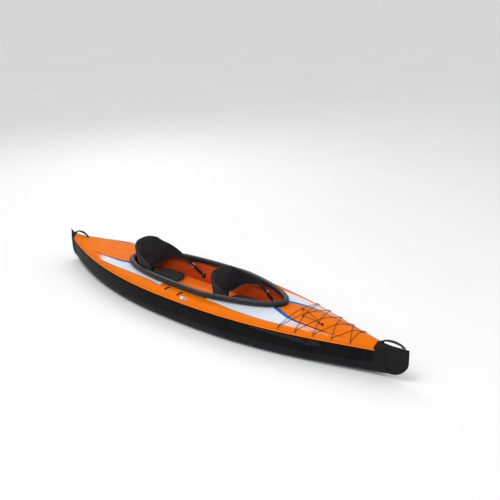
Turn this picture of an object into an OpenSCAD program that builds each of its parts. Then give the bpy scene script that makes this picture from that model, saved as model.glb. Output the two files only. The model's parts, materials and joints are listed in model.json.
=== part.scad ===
// Decked two-seat inflatable kayak, in millimetres.
// Bow along +X, port along +Y, up along +Z. The origin is on the ground, midway along
// the length and the beam.

/* [Hull] */
// Overall length, tip to tip
hull_l = 4300; // [4100:10:4500]
// Overall beam
beam = 890; // [840:5:940]
// Height of the side chambers' tops above the ground
side_h = 281; // [265:1:300]
// Width of one side chamber
chamber_w = 180; // [165:5:200]
// Thickness of the floor chamber
floor_h = 120; // [90:2:130]
// Thickness of the hull, deck and lining fabric
skin_t = 1.5; // [1:0.5:2.5]
// Wall thickness of the inflated chambers
bladder_t = 1.2; // [0.8:0.2:2]
// Clearance between neighbouring layers
gap = 0.3; // [0.25:0.05:0.4]
// Further room between a side chamber and its cover
slack = 2; // [1.8:0.1:3]

/* [Cockpit] */
// Radius of the coaming tube
coaming_r = 27; // [22:1:32]
// Widest half-breadth of the coaming's centreline
coaming_w = 304; // [290:2:312]
// Height of the coaming's centreline amidships
coaming_z = 325; // [320:1:340]

/* [Seats] */
// Half-width of a seat cushion
seat_w = 212; // [180:2:220]
// Length of a seat cushion
seat_l = 370; // [320:5:400]
// Thickness of a seat cushion
seat_t = 60; // [40:2:64]
// Height of the aft backrest above its hinge
aft_back_h = 335; // [280:5:380]
// Height of the front backrest above its hinge
front_back_h = 275; // [250:5:340]
// Half-breadth that a backrest's wings reach
back_w = 216; // [200:2:218]
// How far the wings reach forward of the backrest's middle
wing_reach = 290; // [200:10:320]
// Thickness of a backrest's padding
back_t = 24; // [18:1:30]

/* [Fittings] */
// Width of the webbing straps
webbing_w = 38; // [25:1:50]
// Thickness of the webbing
webbing_t = 2; // [1.5:0.5:3]
// Radius of the elastic deck cord
cord_r = 2.2; // [1.5:0.1:3]
// Number of lacing loops on each side of the bow deck
loop_count = 5; // [3:1:5]
// Spacing of the lacing loops
loop_pitch = 155; // [120:5:160]
// Radius of a valve's screw cap
valve_r = 19; // [15:1:24]

/* [Hidden] */

// ---- Colours ----
orange = "#f08010";
red_orange = "#e8501c";
black = "#1c1c1e";
dark_grey = "#34353a";

// ---- Lines of the hull, as functions of the station x ----
end_hw = 30;
bow_x = hull_l / 2 - 160;
stern_x = 80 - hull_l / 2;
mid_x = -200;
cap_x = hull_l / 2 - 280;
cap_rise = 150;

function clamp01(v) = max(0, min(1, v));
function mix(a, b, t) = a + (b - a) * t;
function signed_pow(v, e) = sign(v) * pow(abs(v), e);
function along(x) = x > mid_x ? (x - mid_x) / (bow_x - mid_x) : (mid_x - x) / (mid_x - stern_x);
// 0 aft of the stem's root, 1 at the tip
function nose(x) = x > 0 ? clamp01((x - bow_x) / (hull_l / 2 - bow_x))
    : clamp01((stern_x - x) / (stern_x + hull_l / 2));
function round_off(u) = sqrt(max(0, 1 - u * u));
function plan_fall(x) = x > mid_x ? pow(1 - pow(clamp01(along(x)), 2.29), 1.19)
    : pow(1 - pow(clamp01(along(x)), 2.14), 0.96);
function half_breadth(x) = (end_hw + (beam / 2 - end_hw) * plan_fall(x)) * round_off(nose(x));
function rocker(x) = (x > 0 ? 40 : 48) * pow(clamp01((along(x) - 0.4) / 0.6), 3);
function keel_z(x) = rocker(x) + cap_rise * (1 - round_off(nose(x)));
function top_z(x) = side_h + (x > 0 ? -12 : 4) * pow(clamp01(along(x)), 2);
function bilge_r(x) = min(90, 0.5 * half_breadth(x));

// ---- The outer section: a superelliptic side from the keel to the tube's top ----
section_n = 3;
chine_a = -9;
seam_a = 33;

function side_pt(x, a, inset) =
    let (r = bilge_r(x), w = half_breadth(x), h = (top_z(x) - keel_z(x)) / 2)
    [w - r + (r - inset) * signed_pow(cos(a), 2 / section_n),
     keel_z(x) + h + (h - inset) * signed_pow(sin(a), 2 / section_n)];

// ---- The cockpit's rim ----
rim_mid = 150;
rim_fore = 892;
rim_aft = -1045;
function rim_u(x) = clamp01(x > rim_mid ? (x - rim_mid) / (rim_fore - rim_mid)
    : (rim_mid - x) / (rim_mid - rim_aft));
function rim_y(x) = coaming_w * pow(1 - pow(rim_u(x), x > rim_mid ? 1.3 : 2.7), x > rim_mid ? 0.56 : 0.42);
// The rim rises towards the bow
function rim_z(x) = coaming_z + (x - rim_mid) / 1000 * (x > rim_mid ? 25 : 17);
function in_cockpit(x) = x > rim_aft && x < rim_fore;

// ---- The deck: level with the tube's top, rising to the rim or to the ridge ----
ridge_fore = 287;
ridge_aft = 302;
function ridge_z(x) = x > rim_fore
    ? mix(deck_edge_z(rim_fore), ridge_fore, clamp01((x - rim_fore) / (cap_x - rim_fore)))
        + 12 * nose(x)
    : mix(deck_edge_z(rim_aft), ridge_aft, clamp01((rim_aft - x) / (rim_aft + cap_x)))
        + 42 * pow(nose(x), 1.5);
function deck_edge_z(x) = rim_z(x) - coaming_r - gap;
function deck_edge_y(x) = in_cockpit(x) ? max(rim_y(x), 2) : 0;
function crown(x, s) = let (m = clamp01(deck_edge_y(x) / 150))
    m * s * s + (1 - m) * (2 * s - s * s);
// s is 0 at the tube's top and 1 at the rim or the ridge
function deck_pt(x, s, inset) =
    let (y0 = half_breadth(x) - bilge_r(x), z0 = top_z(x),
         z1 = in_cockpit(x) ? deck_edge_z(x) : ridge_z(x))
    [mix(y0, min(deck_edge_y(x), y0), s), z0 + (z1 - z0) * crown(x, s) - inset];
function deck_z(x, y) =
    let (y0 = half_breadth(x) - bilge_r(x), y1 = min(deck_edge_y(x), y0))
    deck_pt(x, clamp01((y0 - abs(y)) / max(1, y0 - y1)), 0)[1];

// ---- The inner side of a side chamber ----
function chamber_y(x) = max(1, half_breadth(x) - chamber_w);
function inner_r(x) = min(100, (half_breadth(x) - chamber_y(x)) / 2);
// The proud value moves the point from the chamber's surface towards the cockpit
function inner_pt(x, a, proud) =
    let (r = inner_r(x), h = (top_z(x) - keel_z(x)) / 2, inset = skin_t + gap)
    [chamber_y(x) + r - (r + proud) * signed_pow(cos(a), 2 / section_n),
     keel_z(x) + h + (h - inset + proud) * signed_pow(sin(a), 2 / section_n)];

// ---- Generic meshes ----
function spread(a, b, n) = [for (i = [0:n]) mix(a, b, i / n)];
// Stations that crowd towards both ends
function eased(a, b, n) = [for (i = [0:n]) mix(a, b, (1 - cos(180 * i / n)) / 2)];
function flat(rows) = [for (row = rows) for (p = row) p];
function mirrored(rows) = [for (row = rows) [for (i = [len(row) - 1:-1:0])
    [row[i][0], -row[i][1], row[i][2]]]];
function quad(a, b, c, d, flip) = flip ? [[a, b, c], [a, c, d]] : [[c, b, a], [d, c, a]];

// A thin closed sheet between an outer grid of points and an inner one
module sheet(outer, inner) {
    n = len(outer);
    m = len(outer[0]);
    k = n * m;
    edge = concat(
        [for (i = [0:n - 2]) [i * m, (i + 1) * m]],
        [for (j = [0:m - 2]) [(n - 1) * m + j, (n - 1) * m + j + 1]],
        [for (i = [n - 1:-1:1]) [i * m + m - 1, (i - 1) * m + m - 1]],
        [for (j = [m - 1:-1:1]) [j, j - 1]]);
    polyhedron(points = concat(flat(outer), flat(inner)), faces = concat(
        [for (i = [0:n - 2]) for (j = [0:m - 2])
            for (f = quad(i * m + j, (i + 1) * m + j, (i + 1) * m + j + 1, i * m + j + 1, true)) f],
        [for (i = [0:n - 2]) for (j = [0:m - 2])
            for (f = quad(k + i * m + j, k + (i + 1) * m + j, k + (i + 1) * m + j + 1,
                k + i * m + j + 1, false)) f],
        [for (e = edge) for (f = quad(e[0], k + e[0], k + e[1], e[1], true)) f]));
}

function centre(ring) = [for (c = [0:2]) let (v = [for (p = ring) p[c]])
    (v * [for (p = ring) 1]) / len(ring)];

// A closed loft through rings of points, with a fan over each end
module loft(rings) {
    n = len(rings);
    m = len(rings[0]);
    polyhedron(points = concat(flat(rings), [centre(rings[0]), centre(rings[n - 1])]),
        faces = concat(
            [for (i = [0:n - 2]) for (j = [0:m - 1]) let (q = (j + 1) % m)
                for (f = quad(i * m + j, (i + 1) * m + j, (i + 1) * m + q, i * m + q, true)) f],
            [for (j = [0:m - 1]) [n * m, j, (j + 1) % m]],
            [for (j = [0:m - 1]) [n * m + 1, (n - 1) * m + (j + 1) % m, (n - 1) * m + j]]));
}

// A closed loop of rings
module ring_loft(rings) {
    n = len(rings);
    m = len(rings[0]);
    polyhedron(points = flat(rings), faces =
        [for (i = [0:n - 1]) for (j = [0:m - 1]) let (q = (j + 1) % m, w = (i + 1) % n)
            for (f = quad(i * m + j, w * m + j, w * m + q, i * m + q, true)) f]);
}

function unit(v) = v / norm(v);
// A ring of n points about c, across the direction d
function ring_at(c, d, r, n) = let (s = unit(cross([0, 0, 1], d)), u = unit(cross(d, s)))
    [for (j = [0:n - 1]) let (f = 360 * (j + 0.5) / n) c + r * (cos(f) * s + sin(f) * u)];
// A round cord along a list of points
module cord(path, r, n) {
    last = len(path) - 1;
    loft([for (i = [0:last])
        ring_at(path[i], path[min(last, i + 1)] - path[max(0, i - 1)], r, n)]);
}

// Flat webbing along a path in a vertical plane or nearly so; side is its width direction
module webbing(path, side, w, t) {
    last = len(path) - 1;
    loft([for (i = [0:last])
        let (d = unit(path[min(last, i + 1)] - path[max(0, i - 1)]), u = unit(cross(d, side)))
        [path[i] - side * w / 2 - u * t / 2, path[i] + side * w / 2 - u * t / 2,
         path[i] + side * w / 2 + u * t / 2, path[i] - side * w / 2 + u * t / 2]]);
}

// ---- Hull skins ----
hull_stations = concat(spread(stern_x, -1400, 8), spread(-1320, 1080, 20),
    spread(1190, cap_x, 8));
side_angles = [chine_a, 2, 10, 20, seam_a];
bottom_angles = [chine_a, -22, -40, -60, -78, -90];

function side_grid(inset) = [for (x = hull_stations) [for (a = side_angles)
    let (p = side_pt(x, a, inset)) [x, p[0], p[1]]]];
function bottom_grid(inset) = [for (x = hull_stations) concat(
    [for (a = bottom_angles) let (p = side_pt(x, a - 0.25, inset)) [x, p[0], p[1]]],
    [[x, 0, keel_z(x) + inset]],
    [for (i = [len(bottom_angles) - 1:-1:0])
        let (p = side_pt(x, bottom_angles[i] - 0.25, inset)) [x, -p[0], p[1]]])];

module hull_bottom() {
    color(dark_grey) sheet(bottom_grid(skin_t), bottom_grid(0));
}
module hull_side_starboard() {
    color(black) sheet(mirrored(side_grid(skin_t)), mirrored(side_grid(0)));
}
module hull_side_port() {
    color(black) sheet(side_grid(skin_t), side_grid(0));
}

// ---- Bow and stern caps: hollow noses that close the hull's ends ----
cap_angles = [-90, -65, -35, -5, 20, 50, 75];
function cap_ring(x, inset) = concat(
    [[x, 0, keel_z(x) + inset]],
    [for (a = cap_angles) let (p = side_pt(x, a, inset)) [x, p[0], p[1]]],
    [let (p = deck_pt(x, 0.4, inset)) [x, p[0], p[1]]],
    [[x, 0, ridge_z(x) - inset]],
    [let (p = deck_pt(x, 0.4, inset)) [x, -p[0], p[1]]],
    [for (i = [len(cap_angles) - 1:-1:0])
        let (p = side_pt(x, cap_angles[i], inset)) [x, -p[0], p[1]]]);
tip_margin = 0.6;
bow_stations = concat(spread(cap_x + gap, bow_x, 3),
    [for (a = [20, 40, 58, 73, 84]) bow_x + (hull_l / 2 - bow_x) * sin(a)], [hull_l / 2]);
stern_stations = concat([-hull_l / 2],
    [for (a = [80, 64, 46, 26]) stern_x - (stern_x + hull_l / 2) * sin(a)], [stern_x - gap]);
// The inner stations stop short of the tip, where the two walls meet
cap_wall = 2 * skin_t;
bow_hollow = [for (x = bow_stations) if (x < hull_l / 2 - 20) x];
stern_hollow = [for (x = stern_stations) if (x > 20 - hull_l / 2) x];

module bow_cap() {
    color(black) difference() {
        loft([for (x = bow_stations) cap_ring(min(x, hull_l / 2 - tip_margin / 20), 0)]);
        loft(concat([[for (p = cap_ring(bow_hollow[0], cap_wall)) p - [5, 0, 0]]],
            [for (x = bow_hollow) cap_ring(x, cap_wall)]));
    }
}
module stern_cap() {
    color(black) difference() {
        loft([for (x = stern_stations) cap_ring(max(x, tip_margin / 20 - hull_l / 2), 0)]);
        loft(concat([for (x = stern_hollow) cap_ring(x, cap_wall)],
            [[for (p = cap_ring(stern_stations[len(stern_stations) - 1], cap_wall))
                p + [5, 0, 0]]]));
    }
}

// ---- Deck panels ----
shoulder_angles = [seam_a + 1, 44, 56, 70];
crown_steps = [0, 0.3, 0.62];
function half_deck(x, inset) = concat(
    [for (a = shoulder_angles) let (p = side_pt(x, a, inset)) [x, p[0], p[1]]],
    [for (s = crown_steps) let (p = deck_pt(x, s, inset)) [x, p[0], p[1]]]);
function full_deck(stations, inset) = [for (x = stations)
    let (h = half_deck(x, inset)) concat(h, [[x, 0, ridge_z(x) - inset]],
        [for (i = [len(h) - 1:-1:0]) [h[i][0], -h[i][1], h[i][2]]])];
function side_deck(stations, inset) = [for (x = stations)
    concat(half_deck(x, inset), [let (p = deck_pt(x, 1, inset)) [x, p[0], p[1]]])];
bow_deck_stations = spread(rim_fore + gap, cap_x, 12);
stern_deck_stations = spread(stern_x, rim_aft - gap, 12);
side_deck_stations = eased(rim_aft, rim_fore, 26);

module deck_bow() {
    color(orange)
        sheet(full_deck(bow_deck_stations, skin_t), full_deck(bow_deck_stations, 0));
}
module deck_stern() {
    color(orange)
        sheet(full_deck(stern_deck_stations, skin_t), full_deck(stern_deck_stations, 0));
}
module deck_side_port() {
    color(orange)
        sheet(side_deck(side_deck_stations, skin_t), side_deck(side_deck_stations, 0));
}
module deck_side_starboard() {
    color(orange) sheet(mirrored(side_deck(side_deck_stations, skin_t)),
        mirrored(side_deck(side_deck_stations, 0)));
}

// ---- Piping sewn into the seam between the deck and the hull ----
piping_r = 2.5;
function seam_path(side) = [for (x = concat(spread(stern_x, -1400, 7), spread(-1250, 1050, 12),
    spread(1190, cap_x, 6))) let (p = side_pt(x, seam_a + 0.5, -piping_r - 3 * gap))
    [x, side * p[0], p[1]]];
module edge_piping_port() {
    color("#f6a24c") cord(seam_path(1), piping_r, 6);
}
module edge_piping_starboard() {
    color("#f6a24c") cord(seam_path(-1), piping_r, 6);
}

// ---- Cockpit linings, from under the rim down to the floor ----
lining_angles = [-36, -20, 0, 20, 38, 55];
lining_clear = gap + 0.6;
lining_drop = 1.6;
lining_stations = concat(spread(-1330, rim_aft - 15, 2), side_deck_stations,
    spread(rim_fore + 15, 1190, 3));
rim_tuck = 1;
function lining_top_y(x) = max(in_cockpit(x) ? rim_y(x) - rim_tuck : 0,
    inner_pt(x, 68, lining_clear + skin_t)[0]);
function lining_grid(proud, shift) = [for (x = lining_stations) concat(
    [for (a = lining_angles) let (p = inner_pt(x, a, proud)) [x, p[0], p[1]]],
    [let (y = lining_top_y(x) - shift)
        [x, y, (in_cockpit(x) ? min(deck_z(x, y), deck_edge_z(x)) : deck_z(x, y))
            - lining_drop - skin_t - gap]])];
module lining_port() {
    color(red_orange)
        sheet(lining_grid(lining_clear + skin_t, skin_t), lining_grid(lining_clear, 0));
}
module lining_starboard() {
    color(red_orange) sheet(mirrored(lining_grid(lining_clear + skin_t, skin_t)),
        mirrored(lining_grid(lining_clear, 0)));
}

// ---- Inflated side chambers ----
chamber_fore = cap_x - 30;
chamber_aft = stern_x + 30;
chamber_angles = [-90, -55, -20, 20, 55, 90];
function chamber_ring(x, inset) =
    let (shell = skin_t + gap + slack)
    concat(
        [for (a = chamber_angles) let (p = side_pt(x, a, shell + inset))
            [x, p[0] + (abs(a) == 90 ? 1 : 0), p[1]]],
        [for (i = [len(chamber_angles) - 1:-1:0])
            let (a = chamber_angles[i], p = inner_pt(x, a, abs(a) == 90 ? -inset - slack : -inset))
            [x, p[0], p[1]]]);
function chamber_rings(inset) = [for (x = concat([chamber_aft + inset],
    spread(-1950, 1750, 26), [chamber_fore - inset])) chamber_ring(x, inset)];
module side_chamber() {
    difference() {
        loft(chamber_rings(0));
        loft(chamber_rings(bladder_t));
    }
}
module chamber_port() {
    color("#8a8d92") side_chamber();
}
module chamber_starboard() {
    color("#8a8d92") mirror([0, 1, 0]) side_chamber();
}

// ---- Inflated floor ----
floor_fore = 1180;
floor_aft = -1350;
floor_lift = skin_t + gap;
floor_clear = skin_t + lining_clear + 2 * gap;
function floor_ring(x, inset) =
    let (w = chamber_y(x) - floor_clear - inset, h = floor_h / 2)
    [for (i = [0:15]) let (a = 22.5 * i + 11.25)
        [x, sign(cos(a)) * (w - h + (h - inset) * pow(abs(cos(a)), 0.8)),
         keel_z(x) + floor_lift + h + (h - inset) * signed_pow(sin(a), 0.55)]];
module floor_chamber() {
    stations = spread(floor_aft, floor_fore, 22);
    inner = concat([floor_aft + bladder_t], spread(-1240, 1080, 18), [floor_fore - bladder_t]);
    color(orange) difference() {
        loft([for (x = stations) floor_ring(x, 0)]);
        loft([for (x = inner) floor_ring(x, bladder_t)]);
    }
}
function floor_top(x) = keel_z(x) + floor_lift + floor_h;

// ---- Coaming: a fabric sleeve round an inflated tube ----
coaming_steps = 60;
function coaming_pt(t) = let (c = cos(t), x = rim_mid + (c > 0 ? (rim_fore - rim_mid) * c
    : (rim_mid - rim_aft) * c)) [x, (sin(t) < 0 ? -1 : 1) * rim_y(x), rim_z(x)];
function coaming_rings(r, n, steps) = [for (i = [0:steps - 1]) let (t = 360 * (i + 0.5) / steps)
    ring_at(coaming_pt(t), coaming_pt(t + 2) - coaming_pt(t - 2), r, n)];
module coaming_sleeve() {
    color(black) difference() {
        ring_loft(coaming_rings(coaming_r, 10, coaming_steps));
        ring_loft(coaming_rings(coaming_r - skin_t, 10, coaming_steps));
    }
}
module coaming_tube() {
    color(dark_grey) ring_loft(coaming_rings(coaming_r - skin_t - 3 * gap, 10, coaming_steps));
}

// ---- Battens that hold the deck's crown ----
batten_r = 5;
function batten_path(x, top_gap) = let (y1 = inner_pt(x, 55, lining_clear + skin_t)[0] - 3)
    [for (y = spread(-y1, y1, 12)) [x, y, deck_z(x, y) - skin_t - top_gap - batten_r]];
batten_bow_x = rim_fore + 70;
batten_stern_x = rim_aft - 80;
module deck_batten_bow() {
    color("silver") cord(batten_path(batten_bow_x, 3 * gap), batten_r, 8);
}
module deck_batten_stern() {
    color("silver") cord(batten_path(batten_stern_x, 2 * gap), batten_r, 8);
}

// ---- Carry handles: padded webbing arches that tilt about pins at the tips ----
handle_w = 30;
handle_t = 14;
handle_pin_r = 4;
handle_pin_l = 14;
eye_r = handle_pin_r + 4;
bow_handle_x = [1905, 2092];
stern_handle_x = [-2062, -1868];
handle_lift = 11.5;
function pin_pt(x) = [x, 0, ridge_z(x) + handle_lift];
// The arch runs between the two eyes; rise is its height over the pins
module handle(ends, rise) {
    a = pin_pt(ends[0]);
    b = pin_pt(ends[1]);
    tilt = atan2(b[2] - a[2], b[0] - a[0]);
    span = norm(b - a);
    color(black) translate(a) rotate([0, -tilt, 0]) difference() {
        union() {
            loft([for (i = [0:10]) let (t = i / 10, x = -4 + (span + 8) * t,
                    z = rise * pow(sin(180 * t), 0.55), w = mix(8, handle_w / 2, sin(180 * t)),
                    h = mix(eye_r - 2, handle_t / 2, sin(180 * t)))
                [for (j = [0:11]) let (f = 30 * j + 15)
                    [x, w * signed_pow(cos(f), 0.7), z + h * signed_pow(sin(f), 0.7)]]]);
            for (x = [0, span]) translate([x, 0, 0]) rotate([0, 90, 0])
                cylinder(h = handle_pin_l, r = eye_r, center = true, $fn = 40);
        }
        for (x = [0, span]) translate([x, 0, 0]) rotate([0, 90, 0])
            cylinder(h = 60, r = handle_pin_r + gap, center = true, $fn = 40);
    }
}
module bow_handle() {
    handle(bow_handle_x, 24);
}
module stern_handle() {
    handle(stern_handle_x, 30);
}
// Each anchor is a pin through the handle's eye, held by a foot beyond it
module anchors(ends, foot_gap) {
    a = pin_pt(ends[0]);
    b = pin_pt(ends[1]);
    tilt = atan2(b[2] - a[2], b[0] - a[0]);
    for (e = [[a, -1], [b, 1]]) translate(e[0]) rotate([0, -tilt, 0]) {
        rotate([0, 90, 0]) cylinder(h = handle_pin_l + 8, r = handle_pin_r, center = true,
            $fn = 40);
        translate([e[1] * (handle_pin_l / 2 + 6) - 4, -9, foot_gap - handle_lift])
            cube([8, 18, handle_lift + 3]);
    }
}
module handle_anchors() {
    color("#4a4c50") {
        anchors(bow_handle_x, 0.8);
        anchors(stern_handle_x, 1.7);
    }
}

// ---- Seats ----
aft_hinge_x = -890;
front_hinge_x = 140;
hinge_lift = 12;
hinge_rod_r = 4;
hinge_rod_l = 170;
hinge_strip_t = 3;
back_lean = 9;
function hinge_z(x) = floor_top(x) + gap + seat_t + hinge_lift;

// A padded form: rings shrink from the outline towards the middle on both faces
module pad(outline, rear, front) {
    shares = [1, 0.93, 0.75, 0.4];
    k = len(shares);
    loft(concat(
        [for (i = [k - 1:-1:0]) [for (p = outline) rear(p * shares[i], shares[i])]],
        [for (i = [0:k - 1]) [for (p = outline) front(p * shares[i], shares[i])]]));
}
function puff(q, e) = pow(1 - pow(q, e), 0.5);

cushion_setback = 12;
function cushion_outline() = [for (i = [0:23]) let (a = 15 * i + 7.5)
    [seat_l / 2 * signed_pow(cos(a), 0.5), seat_w * signed_pow(sin(a), 0.5)]];
cushion_edge = 0.38;
function cushion_x(hinge_x) = hinge_x + cushion_setback + seat_l / 2;
function cushion_base(hinge_x) = floor_top(cushion_x(hinge_x)) + gap;
module cushion(hinge_x) {
    cx = cushion_x(hinge_x);
    z0 = cushion_base(hinge_x);
    top = function (p, q) [cx + p[0], p[1],
        z0 + seat_t * (cushion_edge + 0.02 + 0.5 * puff(q, 5)) + 6 * clamp01(p[0] / seat_l * 2)];
    base = function (p, q) [cx + p[0], p[1],
        z0 + seat_t * (cushion_edge - 0.02) * (1 - puff(q, 6))];
    color(dark_grey) pad(cushion_outline(), base, top);
}
module aft_seat_cushion() {
    cushion(aft_hinge_x);
}
module front_seat_cushion() {
    cushion(front_hinge_x);
}

// Sewn hinges: a piping along each hinge axis, on a strip from the cushion's rear edge
module seat_hinges() {
    color(black) for (hx = [aft_hinge_x, front_hinge_x]) {
        z1 = hinge_z(hx);
        z0 = cushion_base(hx) + seat_t * cushion_edge;
        translate([hx, 0, z1]) rotate([90, 0, 0])
            cylinder(h = hinge_rod_l, r = hinge_rod_r, center = true, $fn = 40);
        translate([hx - hinge_strip_t / 2, -hinge_rod_l / 2, z0])
            cube([hinge_strip_t, hinge_rod_l, z1 - z0 - hinge_rod_r / 2]);
        translate([hx - hinge_strip_t / 2, -hinge_rod_l / 2, z0 - hinge_strip_t / 2])
            cube([cushion_setback + hinge_strip_t / 2, hinge_rod_l, hinge_strip_t]);
    }
}

// The backrest wraps forward: t runs from the middle, 0, to a wing's tip, 1
split_t = 0.55;
split_gap = 0.01;
wing_t = 5;
tip_low = 0.2;
tip_high = 0.4;
// The share of a half that stays flat behind the sitter
flat_t = 0.12;
function back_y(t) = back_w * signed_pow(sin(90 * t), 0.95);
function back_x(t) = wing_reach * pow(1 - cos(90 * clamp01((t - flat_t) / (1 - flat_t))), 1.1);
function back_top(t, h) = h * (1 - (1 - tip_high) * pow(abs(t), 2.1));
function back_foot(t, h) = hinge_rod_r - gap
    + h * tip_low * pow(clamp01((abs(t) - 0.3) / 0.45), 1.3);
// v is 0 at the lower edge and 1 at the upper; proud moves the point off the middle surface
function back_pt(t, v, h, proud) =
    let (dx = back_x(abs(t) + 0.01) - back_x(abs(t) - 0.01),
         dy = back_y(abs(t) + 0.01) - back_y(abs(t) - 0.01), n = norm([dx, dy]))
    [back_x(abs(t)) + proud * dy / n, back_y(t) - proud * sign(t) * dx / n,
     mix(back_foot(t, h), back_top(t, h), v)];
module on_hinge(hinge_x) {
    translate([hinge_x, 0, hinge_z(hinge_x)]) rotate([0, -back_lean, 0]) children();
}
module backrest(hinge_x, h) {
    face = function (p, q, side) back_pt(p[0], (p[1] + 1) / 2, h, side * back_t / 2
        * (0.3 + 0.7 * puff(q, 4)));
    color(black) on_hinge(hinge_x) pad(
        [for (i = [0:23]) let (a = 15 * i + 7.5)
            [split_t * signed_pow(cos(a), 0.4), signed_pow(sin(a), 0.4)]],
        function (p, q) face(p, q, -1), function (p, q) face(p, q, 1));
}
module back_wing(hinge_x, h) {
    ts = spread(split_t + split_gap, 1, 7);
    rows = spread(0.08, 0.9, 5);
    color(black) on_hinge(hinge_x) sheet(
        [for (t = ts) [for (v = rows) back_pt(t, v, h, -wing_t / 2)]],
        [for (t = ts) [for (v = rows) back_pt(t, v, h, wing_t / 2)]]);
}
module aft_backrest() {
    backrest(aft_hinge_x, aft_back_h);
}
module front_backrest() {
    backrest(front_hinge_x, front_back_h);
}
module aft_wing_port() {
    back_wing(aft_hinge_x, aft_back_h);
}
module aft_wing_starboard() {
    mirror([0, 1, 0]) back_wing(aft_hinge_x, aft_back_h);
}
module front_wing_port() {
    back_wing(front_hinge_x, front_back_h);
}
module front_wing_starboard() {
    mirror([0, 1, 0]) back_wing(front_hinge_x, front_back_h);
}

// ---- Side straps, from a wing's tip down to a ring on the wall ----
strap_reach = [515, 455];
ring_z = 188;
ring_off = 9;
buckle_along = 0.62;
// The wall's widest line, and its slope in degrees, at a station
function wall_y(x) = chamber_y(x) - lining_clear - skin_t;
function wall_turn(x) = atan((chamber_y(x + 20) - chamber_y(x - 20)) / 40);
function strap_end(hinge_x) = let (x = hinge_x + strap_reach[hinge_x < 0 ? 0 : 1])
    [x, wall_y(x) - ring_off, ring_z];
// A strap starts behind the wing's tip, on its outer face
strap_lap = 26;
strap_out = [0, 1.9];
function strap_start(hinge_x, h) = let (p = back_pt(1, 0.5, h, 0), c = cos(back_lean),
        s = sin(back_lean))
    [hinge_x + p[0] * c - p[2] * s - strap_lap,
     p[1] + (wing_t + webbing_t) / 2 + 2 * gap + strap_out[hinge_x < 0 ? 0 : 1],
     hinge_z(hinge_x) + p[2] * c + p[0] * s + strap_lap / 4];
function strap_point(hinge_x, h, t) = let (a = strap_start(hinge_x, h), b = strap_end(hinge_x))
    a + (b - a) * t;
module strap(hinge_x, h) {
    a = strap_start(hinge_x, h);
    b = strap_end(hinge_x);
    d = unit(b - a);
    up = unit(cross(cross(d, [0, 0, 1]), d));
    stop = 1 - (ring_r + ring_wire + gap) / norm(b - a);
    color(black) webbing([for (t = spread(0, stop, 4)) strap_point(hinge_x, h, t)], up,
        webbing_w, webbing_t);
}
module aft_strap_port() {
    strap(aft_hinge_x, aft_back_h);
}
module aft_strap_starboard() {
    mirror([0, 1, 0]) strap(aft_hinge_x, aft_back_h);
}
module front_strap_port() {
    strap(front_hinge_x, front_back_h);
}
module front_strap_starboard() {
    mirror([0, 1, 0]) strap(front_hinge_x, front_back_h);
}

// ---- Ladder buckles round the straps ----
buckle_l = 34;
buckle_bar = 4;
// Turns the x axis along the strap and the y axis away from the strap's face
module on_strap(hinge_x, h, t) {
    d = unit(strap_end(hinge_x) - strap_start(hinge_x, h));
    translate(strap_point(hinge_x, h, t)) rotate([0, 0, atan2(d[1], d[0])])
        rotate([0, -asin(d[2]), 0]) children();
}
module buckle(hinge_x, h) {
    w = webbing_w + 2 * buckle_bar + 2;
    on_strap(hinge_x, h, buckle_along) union() {
        for (side = [-1, 1])
            translate([-buckle_l / 2, -buckle_bar / 2, side * (w - buckle_bar) / 2 - buckle_bar / 2])
                cube([buckle_l, buckle_bar, buckle_bar]);
        for (place = [-1, 0, 1])
            translate([place * (buckle_l - buckle_bar) / 2 - buckle_bar / 2,
                -webbing_t / 2 - gap - buckle_bar, -w / 2])
                cube([buckle_bar, buckle_bar, w]);
    }
}
module aft_buckles() {
    color("silver") for (m = [0, 1]) mirror([0, m, 0]) buckle(aft_hinge_x, aft_back_h);
}
module front_buckles() {
    color("silver") for (m = [0, 1]) mirror([0, m, 0]) buckle(front_hinge_x, front_back_h);
}

// ---- D-rings and their patches on the lining ----
ring_r = 20;
ring_wire = 2.5;
patch_r = 34;
patch_t = 2;
module strap_rings() {
    color("silver") for (hx = [aft_hinge_x, front_hinge_x]) for (m = [0, 1]) mirror([0, m, 0])
        translate(strap_end(hx)) rotate([90, 0, 0])
            rotate_extrude($fn = 40) translate([ring_r, 0]) circle(r = ring_wire, $fn = 20);
}
// Each patch carries a post through its ring
post_r = 4;
post_in = ring_r - ring_wire - gap - post_r;
patch_drop = 14;
module strap_patches() {
    color(black) for (hx = [aft_hinge_x, front_hinge_x]) for (m = [0, 1]) mirror([0, m, 0]) {
        e = strap_end(hx);
        translate([e[0], wall_y(e[0]) - 3 * gap, e[2]]) rotate([0, 0, wall_turn(e[0])])
            rotate([90, 0, 0]) {
                translate([post_in / 2, -patch_drop, 0])
                    cylinder(h = patch_t, r = patch_r, $fn = 48);
                translate([post_in, 0, 0])
                    cylinder(h = ring_off + 2 * ring_wire, r = post_r, $fn = 32);
            }
    }
}

// ---- Valves: a flanged base, a screwed plug and a screw cap ----
valve_flange = valve_r + 9;
valve_neck = valve_r - 3;
plug_h = 9;
cap_h = 8;
module valve_base() {
    difference() {
        union() {
            cylinder(h = 3, r = valve_flange, $fn = 64);
            cylinder(h = plug_h, r = valve_neck, $fn = 64);
        }
        translate([0, 0, 1.5]) cylinder(h = plug_h, r = valve_neck - 3, $fn = 64);
    }
}
module valve_plug() {
    union() {
        translate([0, 0, 2]) cylinder(h = plug_h - 2 + gap, r = valve_neck - 3.2, $fn = 64);
        translate([0, 0, plug_h + gap]) cylinder(h = 2, r = valve_neck, $fn = 64);
    }
}
module valve_cap() {
    difference() {
        union() {
            translate([0, 0, 3.5]) cylinder(h = plug_h + cap_h - 4, r = valve_r, $fn = 64);
            for (k = [0:7]) rotate([0, 0, 45 * k]) translate([valve_r - 1, -2, 3.5])
                cube([3, 4, plug_h + cap_h - 4]);
        }
        translate([0, 0, 2]) cylinder(h = plug_h + 2 + gap, r = valve_neck + gap, $fn = 64);
    }
}
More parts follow.
